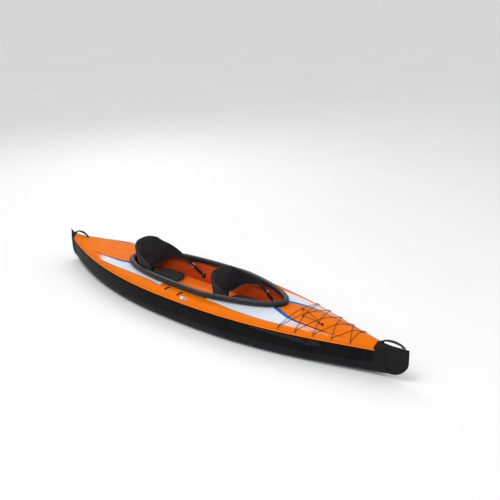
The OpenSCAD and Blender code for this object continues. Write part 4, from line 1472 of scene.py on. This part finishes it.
def shape_skin(
    piece: bpy.types.Object, move: Callable[[Vector, Vector], Vector], split: bool = True
) -> None:
    """Subdivides a pad once and moves each of its points by a rule.

    Args:
        piece: The pad.
        move: Gives a point's new place from its place and normal.
        split: Whether to subdivide first.
    """
    if split:
        finer = piece.modifiers.new("finer", "SUBSURF")
        finer.levels = finer.render_levels = 1
        graph = bpy.context.evaluated_depsgraph_get()
        made = bpy.data.meshes.new_from_object(piece.evaluated_get(graph))
        piece.modifiers.remove(finer)
        piece.data = made
    mesh = piece.data
    places = [move(v.co.copy(), v.normal.copy()) for v in mesh.vertices]
    for vertex, place in zip(mesh.vertices, places):
        vertex.co = place
    mesh.update()
    mesh.polygons.foreach_set("use_smooth", [True] * len(mesh.polygons))


@dataclass
class Seat(Assembly):
    """One seat: cushion, folding backrest with wings, and the straps that hold it."""

    palette: Palette
    name: str = "aft"
    hinge_x: float = -0.89
    height: float = 0.335
    reach: float = 0.515
    strap_out: float = 0.0
    lines: HullLines = LINES
    sew: Stitcher | None = None
    hinge_z: float = 0.1941
    lean: float = math.radians(9)
    back_w: float = 0.216
    back_t: float = 0.024
    wing_reach: float = 0.29
    flat_t: float = 0.12
    split_t: float = 0.55
    root_t: float = 0.46
    wing_t: float = 0.005
    rod_foot: float = 0.0037
    tip_low: float = 0.2
    tip_high: float = 0.4
    seat_l: float = 0.37
    seat_w: float = 0.212
    seat_t: float = 0.06
    setback: float = 0.012
    ring_z: float = 0.188
    ring_off: float = 0.009
    ring_r: float = 0.02
    ring_wire: float = 0.0025
    webbing_w: float = 0.038
    webbing_t: float = 0.002
    lap: float = 0.026
    buckle_along: float = 0.62
    buckle_l: float = 0.034
    channels: tuple[float, ...] = (0.0, 0.13, 0.26, 0.40)

    @property
    def body(self) -> str:
        """The body of the folding backrest."""
        return f"{self.name}_back"

    def world(self, p: Point) -> Vector:
        """A point of the backrest's own frame, leaned and put on the hinge."""
        c, s = math.cos(self.lean), math.sin(self.lean)
        return Vector((self.hinge_x + p[0] * c - p[2] * s, p[1],
                       self.hinge_z + p[2] * c + p[0] * s))

    def local(self, p: Point) -> Vector:
        """A point of the boat in the backrest's own frame."""
        c, s = math.cos(self.lean), math.sin(self.lean)
        dx, dz = p[0] - self.hinge_x, p[2] - self.hinge_z
        return Vector((dx * c + dz * s, p[1], dz * c - dx * s))

    def back_y(self, t: float) -> float:
        """Sideways place of the backrest's middle surface; t is 1 at a wing's tip."""
        return self.back_w * signed_pow(math.sin(math.pi / 2 * t), 0.95)

    def back_x(self, t: float) -> float:
        """How far the backrest has wrapped forwards at t."""
        u = clamp01((abs(t) - self.flat_t) / (1 - self.flat_t))
        return self.wing_reach * (1 - math.cos(math.pi / 2 * u)) ** 1.1

    def back_top(self, t: float) -> float:
        """Height of the upper edge at t."""
        return self.height * (1 - (1 - self.tip_high) * abs(t) ** 2.1)

    def back_foot(self, t: float) -> float:
        """Height of the lower edge at t."""
        return self.rod_foot + self.height * self.tip_low * clamp01(
            (abs(t) - 0.3) / 0.45) ** 1.3

    def back(self, t: float, v: float, proud: float = 0.0) -> Vector:
        """A point of the leaned backrest.

        Args:
            t: Across, from -1 to 1.
            v: 0 at the lower edge and 1 at the upper.
            proud: How far in front of the middle surface.
        """
        dx = self.back_x(abs(t) + 0.01) - self.back_x(abs(t) - 0.01)
        dy = self.back_y(abs(t) + 0.01) - self.back_y(abs(t) - 0.01)
        n = math.hypot(dx, dy)
        return self.world((
            self.back_x(t) + proud * dy / n,
            self.back_y(t) - proud * math.copysign(1, t) * dx / n,
            mix(self.back_foot(t), self.back_top(t), v),
        ))

    def outline(self, n: int, power: float) -> list[tuple[float, float]]:
        """A rounded square outline from -1 to 1, with its points evenly apart.

        Args:
            n: How many points.
            power: How square it is, from 1 for round down to 0 for square.

        Returns:
            The points, once round.
        """
        fine = 720
        turns = [math.tau * (i + 0.5) / fine for i in range(fine + 1)]
        path = np.array([(signed_pow(math.cos(a), power), signed_pow(math.sin(a), power))
                         for a in turns])
        run = np.concatenate([[0.0], np.cumsum(np.linalg.norm(np.diff(path, axis=0), axis=1))])
        at = np.linspace(0.0, run[-1], n, endpoint=False)
        return [(float(a), float(b)) for a, b in zip(np.interp(at, run, path[:, 0]),
                                                     np.interp(at, run, path[:, 1]))]

    def groove(self, distance: float, width: float, depth: float) -> float:
        """Depth of a sewn channel at a distance from its stitch line."""
        return depth * math.exp(-((distance / width) ** 2))

    def cushion(self) -> None:
        """Makes the seat cushion: swollen cloth, then its sewn channels and binding."""
        cx = self.hinge_x + self.setback + self.seat_l / 2
        z0 = self.lines.floor_top(cx) + self.lines.gap
        ring = self.outline(64, 0.5)
        rings = []
        for q, up in [(0.35, 0), (0.7, 0), (0.88, 0), (0.955, 0), (0.975, 1), (0.965, 1),
                      (0.88, 1), (0.7, 1), (0.35, 1)]:
            puff = (1 - min(1.0, q / 0.98) ** 5) ** 0.5
            z = (self.seat_t * (0.40 + 0.42 * puff) if up
                 else self.seat_t * 0.30 * (1 - (1 - min(1.0, q / 0.98) ** 6) ** 0.5)
                 + 0.003)
            rings.append([(cx + self.seat_l / 2 * q * a, self.seat_w * q * b,
                           z0 + z + 0.006 * clamp01(a * q) * up) for a, b in ring])
        piece = loft(f"{self.name}_cushion_pad", rings, self.palette["seat_fabric"])
        inflate(piece, 0.0065, 3.0, 0.006)

        def sewn(p: Vector, normal: Vector) -> Vector:
            """A point's place once the channels are sewn into the pad."""
            rel = Vector((p.x - cx, p.y, 0))
            edge = clamp01((1 - max(abs(rel.x) / (self.seat_l / 2),
                                    abs(rel.y) / self.seat_w)) / 0.10)
            deep = 0.0
            if normal.z > 0.2:
                for line in (-0.141, -0.0705, 0.0, 0.0705, 0.141):
                    deep += self.groove(p.y - line, 0.0065, 0.0065)
                deep += self.groove(rel.x + 0.10, 0.007, 0.004)
                deep += 0.0012 * ripple(p.x, p.y, 0, (11, 15, 1), 17.0)
            q = p - normal * deep * edge
            q.z = min(max(q.z, z0 + 0.0005), z0 + self.seat_t + 0.004)
            return q

        shape_skin(piece, sewn)
        self.put(piece, "seat_fabric", nodes=[f"{self.name}_seat_cushion"])
        edge = [(cx + self.seat_l / 2 * a * 0.995, self.seat_w * b * 0.995,
                 z0 + self.seat_t * 0.37 + 0.004 * clamp01(a)) for a, b in self.outline(120, 0.5)]
        rim = tube(f"{self.name}_cushion_binding", edge, 0.0034, self.palette["binding"], 8,
                   closed=True)
        self.put(rim, "binding")

    def t_at(self, y: float) -> float:
        """The backrest's own measure t for a sideways place."""
        share = clamp01((abs(y) / self.back_w) ** (1 / 0.95))
        return math.asin(share) / (math.pi / 2)

    def backrest(self) -> None:
        """Makes the padded backrest with its upright channels and its binding."""
        rings = []
        ring = self.outline(132, 0.16)
        for q, side in [(0.35, -1), (0.7, -1), (0.9, -1), (0.955, -1), (0.972, 0), (0.955, 1),
                        (0.9, 1), (0.7, 1), (0.35, 1)]:
            puff = (1 - min(1.0, q) ** 4) ** 0.5
            rings.append([self.back(self.split_t * q * a + 1e-6, (q * b + 1) / 2,
                                    side * self.back_t / 2 * (0.40 + 0.37 * puff))
                          for a, b in ring])
        piece = loft(f"{self.name}_backrest_pad", rings, self.palette["seat_fabric"])
        inflate(piece, 0.0055, 3.0, 0.0045)

        def sewn(p: Vector, normal: Vector) -> Vector:
            """A point's place once the channels are sewn into the pad."""
            own = self.local(p)
            t = self.t_at(own.y)
            low, high = self.back_foot(t), self.back_top(t)
            v = clamp01((own.z - low) / (high - low))
            ends = clamp01(v / 0.07) * clamp01((1 - v) / 0.07) * clamp01((self.split_t - t) / 0.04)
            deep = 0.0
            for line in self.channels:
                deep += self.groove((t - line) * 0.34, 0.0055, 0.0048)
            deep += self.groove((v - 0.12) * self.height, 0.006, 0.003)
            deep += 0.0008 * ripple(p.x, p.y, p.z, (9, 14, 9), 19.0)
            return p - normal * deep * ends

        shape_skin(piece, sewn)
        self.put(piece, "seat_fabric", self.body, nodes=[f"{self.name}_backrest"])
        rims = []
        for v in (self.top_v(0.0), self.low_v(0.0)):
            edge = [self.back(t + 1e-6, v) for t in spread(-self.root_t, self.root_t, 70)]
            rims.append(tube("part", edge, 0.0048, self.palette["binding"], 8))
        self.put(join(f"{self.name}_backrest_binding", rims), "binding", self.body)
        rows = []
        for line in self.channels:
            for sign in ((1,) if line == 0 else (1, -1)):
                rows.append([self.back(sign * line + 1e-6, v, self.back_t * 0.30)
                             for v in spread(0.09, 0.91, 60)])
        self.sew.sew(f"{self.name}_channel_stitches", rows, "dark_thread", self.body,
                     pitch=0.006, length=0.004, width=0.0012)

    def top_v(self, t: float) -> float:
        """Share of the height at which the upper binding runs."""
        return mix(0.976, 0.9, clamp01((t - self.root_t) / 0.13))

    def low_v(self, t: float) -> float:
        """Share of the height at which the lower binding runs."""
        return mix(0.02, 0.08, clamp01((t - self.root_t) / 0.13))

    def ring_centre(self, side: Side) -> Vector:
        """Centre of the ring that a strap is tied to."""
        x = self.hinge_x + self.reach
        return Vector((x, side.value * (self.lines.wall_y(x) - self.ring_off), self.ring_z))

    def strap_start(self, side: Side) -> Vector:
        """Where a strap begins, behind the wing's tip and on its outer face."""
        p = self.back(1.0, 0.5)
        out = (self.wing_t + self.webbing_t) / 2 + 2 * self.lines.gap + self.strap_out
        return Vector((p.x - self.lap, side.value * (p.y + out), p.z + self.lap / 4))

    def cross_blend(self, piece: bpy.types.Object, side: Side) -> None:
        """Bakes a piece's transform into its mesh."""
        start = self.back(self.split_t, 0.5)
        start.y *= side.value
        tuple(self.ring_centre(side) - Vector((self.ring_r, 0, 0)))
        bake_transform(piece)

    def wings(self) -> None:
        """Makes each thin wing with its bound edges, strap and ladder buckle."""
        for side in Side:
            ts = spread(self.root_t, 1.0, 50)
            front, back = [], []
            for t in ts:
                for faces, sign in ((front, 1), (back, -1)):
                    row, low, high = [], self.low_v(t), self.top_v(t)
                    for v in spread(low, high, 22):
                        rim = clamp01(min(v - low, high - v) / 0.05)
                        wave = 0.0009 * ripple(t * 0.3, v * 0.2, 0, (18, 14, 1), 31.0)
                        p = self.back(t, v, sign * self.wing_t * (0.25 + 0.22 * rim) + wave)
                        row.append((p.x, side.value * p.y, p.z))
                    faces.append(row)
            rings = [f + b[::-1] for f, b in zip(front, back)]
            piece = loft(f"{self.name}_wing_pad_{side.word}", rings, self.palette["seat_fabric"])
            self.put(piece, "seat_fabric", None, [f"{self.name}_wing_{side.word}"])
            self.cross_blend(piece, side)
            edge = [self.back(t, self.top_v(t)) for t in ts]
            edge += [self.back(1.0, v) for v in spread(0.87, 0.11, 12)]
            edge += [self.back(t, self.low_v(t)) for t in ts[::-1]]
            edge = [Vector((p.x, side.value * p.y, p.z)) for p in edge]
            rim_piece = tube(f"{self.name}_wing_binding_{side.word}", edge, 0.0036,
                             self.palette["binding"], 8)
            self.put(rim_piece, "binding", None)
            self.cross_blend(rim_piece, side)
            self.strap(side)

    def strap(self, side: Side) -> None:
        """Makes one strap with its stitches and its buckle."""
        a, c = self.strap_start(side), self.ring_centre(side)
        stop = c - (c - a).normalized() * (self.ring_r - 0.001)
        d = (stop - a).normalized()
        up = d.cross(Vector((0, 0, 1))).cross(d).normalized()
        out = Vector((0, side.value, 0))
        path = []
        for i in range(41):
            t = i / 40
            slack = 0.0018 * math.sin(math.pi * t) * (1 + 0.4 * math.sin(9 * t))
            path.append(a.lerp(stop, t) + up * -slack)
        turn = [stop + d * 0.0035 + out * 0.0005, stop + d * 0.0045 - out * 0.0025,
                stop + d * 0.002 - out * 0.0045]
        tail = [stop - d * f - out * (0.0042 - 0.0015 * clamp01(f / 0.06))
                for f in spread(0.004, 0.085, 14)]
        whole = path + turn + tail
        piece = ribbon(f"{self.name}_webbing_{side.word}", whole, up,
                       self.webbing_w * 0.96, self.webbing_t, self.palette["webbing"])
        self.put(piece, "webbing", None, [f"{self.name}_strap_{side.word}"])
        self.length(whole)
        self.cross_blend(piece, side)
        self.buckle(side, a, stop, d, up)
        rows = []
        for off in (-0.45, 0.45):
            rows.append([a.lerp(stop, t) + up * (off * self.webbing_w * 0.86)
                         + out * (self.webbing_t / 2 + 0.0002)
                         for t in spread(0.02, 0.94, 50)])
            rows.append([p - out * (self.webbing_t + 0.0004) for p in rows[-1]])
        seam = self.sew.sew(f"{self.name}_webbing_stitches_{side.word}", rows, "thread",
                            None, pitch=0.0055, length=0.0035, width=0.0009)
        self.cross_blend(seam, side)

    @staticmethod
    def length(path: Sequence[Vector]) -> float:
        """The length of a path."""
        return float(sum((b - a).length for a, b in zip(path, path[1:])))

    def buckle(self, side: Side, a: Vector, stop: Vector, d: Vector, up: Vector) -> None:
        """Makes the bent-wire ladder buckle on a strap, in metal."""
        out = Vector((0, -side.value, 0))
        out = (out - d * out.dot(d)).normalized()
        mid, half_l = a.lerp(stop, self.buckle_along), self.buckle_l / 2
        half_w = self.webbing_w / 2 + 0.004
        corners = []
        for i in range(48):
            f = math.tau * i / 48
            corners.append(mid + d * half_l * signed_pow(math.cos(f), 0.35)
                           + up * half_w * signed_pow(math.sin(f), 0.35)
                           + out * 0.0012)
        parts = [tube("part", corners, 0.0021, self.palette["metal"], 10, closed=True)]
        for place in (-0.33, 0.33):
            bar = [mid + d * half_l * place + up * half_w * f + out * 0.0034
                   for f in spread(-1, 1, 8)]
            parts.append(tube("part", bar, 0.0019, self.palette["metal"], 10))
        piece = join(f"{self.name}_ladder_buckle_{side.word}", parts)
        self.put(piece, "metal", None, [f"{self.name}_buckles"])
        self.cross_blend(piece, side)

    def rings(self) -> None:
        """Makes the D-shaped rings on their sewn patches."""
        for side in Side:
            c = self.ring_centre(side)
            loop = []
            for i in range(64):
                f = math.tau * i / 64
                power = 0.45 if math.cos(f) < 0 else 0.95
                loop.append(c + Vector((
                    self.ring_r * signed_pow(math.cos(f), power), 0,
                    self.ring_r * signed_pow(math.sin(f), 0.8 if math.cos(f) < 0 else 0.95))))
            ring = tube(f"{self.name}_d_ring_{side.word}", loop, self.ring_wire,
                        self.palette["metal"], 12, closed=True)
            self.put(ring, "metal", nodes=["strap_rings"])

    def make(self) -> None:
        """Builds the seat."""
        self.cushion()
        self.backrest()
        self.wings()
        self.rings()


def join(name: str, parts: Sequence[bpy.types.Object]) -> bpy.types.Object:
    """Joins plain pieces of one finish into one."""
    points, faces = [], []
    for part in parts:
        start = len(points)
        points += [tuple(v.co) for v in part.data.vertices]
        faces += [[start + i for i in f.vertices] for f in part.data.polygons]
    material = parts[0].data.materials[0]
    for part in parts:
        bpy.data.objects.remove(part)
    return build(name, points, faces, material)


# ---------------------------------------------------------------- fittings


@dataclass
class Handles(Assembly):
    """The carrying handles of rolled webbing at the bow and the stern."""

    palette: Palette
    lines: HullLines = LINES
    sew: Stitcher | None = None
    ends: dict[str, tuple[float, float, float]] = field(default_factory=lambda: {
        "bow": (1.905, 2.092, 0.024), "stern": (-2.062, -1.868, 0.030)})
    width: float = 0.030
    thickness: float = 0.014
    eye_r: float = 0.008

    def handle(self, name: str) -> None:
        """Makes one handle: an arch of folded webbing with a sewn tube at each end."""
        x0, x1, rise = self.ends[name]
        joint = next(j for j in frame["record"]["behaviour"]["joints"]
                     if j["name"] == f"{name}_handle_tilt")
        a, d = Vector(joint["pos_m"]), Vector(joint["axis"]).normalized()
        if d.x < 0:
            d = -d
        a = a + d * ((x0 - a.x) / d.x)
        span = (x1 - x0) / d.x
        up = Vector((-d.z, 0, d.x))
        rings, edges = [], ([], [])
        for i in range(61):
            t = i / 60
            s = math.sin(math.pi * t)
            z = rise * s**0.55 if s > 0 else 0.0
            w = mix(0.008, self.width / 2, s)
            h = mix(self.eye_r - 0.002, self.thickness / 2, s)
            c = a + d * (-0.004 + (span + 0.008) * t)
            ring = []
            for j in range(28):
                f = math.tau * (j + 0.5) / 28
                fold = 1 - 0.10 * math.exp(-((math.sin(f) - 0.25) / 0.16) ** 2)
                crease = 1 + 0.02 * ripple(t * 0.3, j * 0.05, 0, (30, 9, 1), 5.0)
                ring.append(c + Vector((0, 1, 0)) * (w * signed_pow(math.cos(f), 0.7)
                                                     * fold * crease * 0.99)
                            + up * (z + h * signed_pow(math.sin(f), 0.75) * 0.99))
            rings.append(ring)
            for k, sign in enumerate((-1, 1)):
                edges[k].append(c + Vector((0, sign, 0)) * w * 0.72
                                + up * (z + h * 0.86))
        grip = loft(f"{name}_grip_webbing", rings, self.palette["webbing"], 70)
        self.put(grip, "webbing", f"{name}_grip", [f"{name}_handle"])
        for k, end in enumerate((0.0, span)):
            eye = []
            for i in range(13):
                u = (i / 12 - 0.5) * 2
                eye.append(a + d * (end + u * 0.0105))
            sleeve = tube(f"{name}_eye_{k}", eye, self.eye_r, self.palette["webbing"], 24,
                          swell=lambda i, j: 1.0 - 0.10 * (i in (0, 12)) - 0.03 * (i % 2))
            self.put(sleeve, "webbing", f"{name}_grip")
        self.sew.sew(f"{name}_grip_stitches", edges, "dark_thread", f"{name}_grip",
                     pitch=0.006, length=0.004, width=0.0011)

    def make(self) -> None:
        """Builds both handles."""
        for name in self.ends:
            self.handle(name)
        self.dress("fitting", "handle_anchors")


@dataclass
class Lacing(Assembly):
    """The cord laced over the bow deck through small loops, with its lock."""

    palette: Palette
    lines: HullLines = LINES
    loop_x0: float = 1.048
    pitch: float = 0.155
    count: int = 5
    loop_a: float = 46.0
    cord_r: float = 0.0022
    rest_lift: float = 0.0007
    cross_lift: float = 0.0055
    knot_a: tuple[float, float] = (1.052, 0.048)
    knot_b: tuple[float, float] = (1.140, -0.060)
    lock_at: tuple[float, float] = (1.345, -0.072)

    def over(self, x: float, y: float, lift: float) -> Vector:
        """A point above the deck at a place."""
        spec = self.lines
        y0 = spec.half_breadth(x) - spec.bilge(x)
        fall = clamp01((abs(y) - y0) / spec.bilge(x))
        return Vector((x, y, spec.deck_z(x, y) + (self.cord_r + lift) * (1 + 2.4 * fall**2)))

    def run(self, a: Point, b: Point, lift: float) -> list[Vector]:
        """A stretch of cord over the deck between two places."""
        path = []
        for t in eased(0, 1, 30):
            ease = min(1.0, 5 * t, 5 * (1 - t))
            path.append(self.over(mix(a[0], b[0], t), mix(a[1], b[1], t),
                                  self.rest_lift + lift * ease))
        return path

    def anchor(self, k: int, side: int) -> tuple[float, float]:
        """The place of a loop on the shoulder."""
        x = self.loop_x0 + k * self.pitch
        return x, side * (self.lines.side(x, self.loop_a)[0] - 0.001)

    def knot(self, at: Vector, r: float, turn: float) -> bpy.types.Object:
        """Makes a small overhand knot as a trefoil of cord."""
        path = []
        for i in range(60):
            f = math.tau * i / 60
            c, s = math.cos(turn), math.sin(turn)
            x = (math.sin(f) + 2 * math.sin(2 * f)) * r * 0.30
            y = (math.cos(f) - 2 * math.cos(2 * f)) * r * 0.30
            path.append(at + Vector((x * c - y * s, x * s + y * c,
                                     math.sin(3 * f) * r * 0.28 + r * 0.3)))
        return tube("part", path, self.cord_r, self.palette["cord"], 8, closed=True)

    def make(self) -> None:
        """Builds the lacing."""
        runs = []
        for k in range(self.count - 1):
            runs.append((self.anchor(k, -1), self.anchor(k + 1, 1), 0.0002))
            runs.append((self.anchor(k, 1), self.anchor(k + 1, -1), self.cross_lift))
        last = self.count - 1
        runs.append((self.anchor(last, -1), self.anchor(last, 1), 0.0002))
        runs.append((self.anchor(0, -1), self.knot_a, self.cross_lift))
        runs.append((self.knot_a, self.anchor(0, 1), self.cross_lift))
        runs.append((self.knot_a, self.knot_b, self.cross_lift * 1.9))
        runs.append((self.knot_a, self.lock_at, self.cross_lift * 1.9))
        runs.append((self.knot_b, self.lock_at, self.cross_lift * 1.9))
        parts = [tube("part", self.run(*r), self.cord_r, self.palette["cord"], 10)
                 for r in runs]
        for at, size, turn in ((self.knot_a, 0.0075, 0.3), (self.knot_b, 0.0060, 1.2)):
            parts.append(self.knot(self.over(*at, self.rest_lift), size, turn))
        for k in range(self.count):
            for side in (-1, 1):
                x, y = self.anchor(k, side)
                parts.append(self.knot(self.over(x, y - side * 0.004, 0.0), 0.0042, k * 1.7))
        piece = join("laced_cord", parts)
        self.put(piece, "cord", nodes=["deck_lacing"])
        self.dress("fitting", "lacing_loops", "cord_lock", "cord_lock_button")


@dataclass
class PaddleHolders(Assembly):
    """The tabs, the loop and the printed patch on the side decks."""

    palette: Palette
    lines: HullLines = LINES
    loop_x: float = -0.11
    span: float = 0.072
    rise: float = 0.042

    def loop(self) -> None:
        """Makes the paddle's cord loop beside the rim."""
        spec, path = self.lines, []
        for t in spread(0, 1, 40):
            x = self.loop_x + self.span * (t - 0.5)
            y = spec.rim_y(x) + spec.rim_r + 0.005
            s = math.sin(math.pi * t)
            path.append((x, y, spec.deck_z(x, y) + 0.0015 + self.rise * (s**0.6 if s > 0 else 0)))
        piece = tube("paddle_loop_cord", path, 0.003, self.palette["cord"], 12)
        self.put(piece, "cord", nodes=["paddle_loop"])

    def patch(self) -> None:
        """Makes the plain printed patch with one blue block."""
        spec = self.lines

        def over(x: float, y: float, up: float) -> Point:
            """A point at a height above the starboard side deck."""
            return (x, -y, spec.deck_z(x, -y) + up)

        centre = [spec.half_breadth(x) - 0.042 for x in spread(-0.012, 0.062, 20)]
        rows = [[over(x, c + w, 0.0014) for w in spread(-0.013, 0.0125, 12)]
                for x, c in zip(spread(-0.012, 0.062, 20), centre)]
        piece = skin("deck_patch_print", rows, self.palette["patch"], 0.0006)
        self.put(piece, "patch", nodes=["deck_patch"])
        rows = [[over(x, c + w, 0.0017) for w in spread(-0.009, 0.009, 8)]
                for x, c in zip(spread(0.026, 0.055, 10), centre[10:])]
        block = skin("deck_patch_block", rows, self.palette["blue_print"], 0.0003)
        self.put(block, "blue_print")

    def make(self) -> None:
        """Builds the holders."""
        self.loop()
        self.patch()
        self.dress("webbing", "paddle_strap_aft", "paddle_strap_fore")


@dataclass
class Valves(Assembly):
    """The valves, whose machined CAD shapes are kept and dressed."""

    palette: Palette

    def make(self) -> None:
        """Dresses the valves and the small hard fittings."""
        for place in ("port", "starboard", "floor"):
            self.dress("valve", f"valve_base_{place}", f"valve_cap_{place}")
            self.dress("valve_plug", f"valve_plug_{place}")
        self.dress("valve", "coaming_valve")
        self.dress("valve_plug", "coaming_valve_plug")
        self.dress("webbing", "seat_hinges")
        self.dress("black_fabric", "strap_patches")


# ---------------------------------------------------------------- studio


@dataclass
class Studio:
    """The camera, the pale floor and the soft lights."""

    eye: tuple[float, float, float] = (4.97094, -5.02579, 3.41642)
    right: tuple[float, float, float] = (0.75156, 0.65941, -0.01854)
    up: tuple[float, float, float] = (-0.23095, 0.28934, 0.92895)
    lens: float = 58.63
    floor_size: float = 300.0

    def camera(self) -> None:
        """Puts the camera in."""
        data = bpy.data.cameras.new("camera")
        data.lens, data.sensor_width, data.clip_end = self.lens, 36.0, 200.0
        view = bpy.data.objects.new("camera", data)
        right, up = Vector(self.right).normalized(), Vector(self.up).normalized()
        back = right.cross(up).normalized()
        turn = Matrix((right, up, back)).transposed().to_4x4()
        view.matrix_world = Matrix.Translation(self.eye) @ turn
        bpy.context.scene.collection.objects.link(view)
        bpy.context.scene.camera = view

    def floor(self) -> None:
        """Lays the plain floor."""
        s = Surface("studio_floor")
        tone = s.graph.ramp(s.graph.noise(s.place, 0.8), 0.2, 0.8)
        s.set(Base_Color=s.graph.blend(tone, (0.92, 0.92, 0.92), (0.95, 0.95, 0.95)),
              Roughness=0.9)
        s.shader.inputs["Specular IOR Level"].default_value = 0.1
        h = self.floor_size / 2
        piece = build("studio_floor", [(-h, -h, 0), (h, -h, 0), (h, h, 0), (-h, h, 0)],
                      [[0, 1, 2, 3]], s.material)

    def lights(self) -> None:
        """Hangs the soft boxes and the pale surroundings."""
        bpy.context.scene.view_settings.view_transform = "Standard"
        world = bpy.data.worlds.new("studio_world")
        bpy.context.scene.world = world
        world.use_nodes = True
        sky = world.node_tree.nodes["Background"]
        sky.inputs["Color"].default_value = (1.0, 1.0, 1.0, 1.0)
        sky.inputs["Strength"].default_value = 0.72
        for name, place, aim, size, power in (
            ("key", (1.0, -3.0, 6.0), (0.2, 0, 0.2), 3.5, 150.0),
            ("fill", (5.5, 2.5, 4.5), (0, 0, 0.2), 4.0, 30.0),
            ("rim", (-5.0, 3.0, 4.5), (0, 0, 0.2), 3.5, 80.0),
        ):
            data = bpy.data.lights.new(name, "AREA")
            data.shape, data.size, data.energy = "DISK", size, power
            lamp = bpy.data.objects.new(name, data)
            lamp.location = place
            way = Vector(aim) - Vector(place)
            lamp.rotation_euler = way.to_track_quat("-Z", "Y").to_euler()
            bpy.context.scene.collection.objects.link(lamp)

    def make(self) -> None:
        """Builds the studio."""
        self.camera()
        self.floor()
        self.lights()


def main() -> None:
    """Builds every sub-assembly in order."""
    logging.basicConfig(level=logging.INFO, format="%(name)s: %(message)s")
    Studio().make()
    palette = Palette()
    sew = Stitcher(palette)
    parts = (
        HullSkin(palette, sew=sew),
        Deck(palette, sew=sew),
        Cockpit(palette, sew=sew),
        Seat(palette, "aft", sew=sew),
        Seat(palette, "front", 0.14, 0.275, 0.455, 0.0019, sew=sew),
        Handles(palette, sew=sew),
        Lacing(palette),
        PaddleHolders(palette),
        Valves(palette),
    )
    for part in parts:
        LOG.info("building %s", type(part).__name__)
        part.make()


if __name__ == "__main__":
    main()
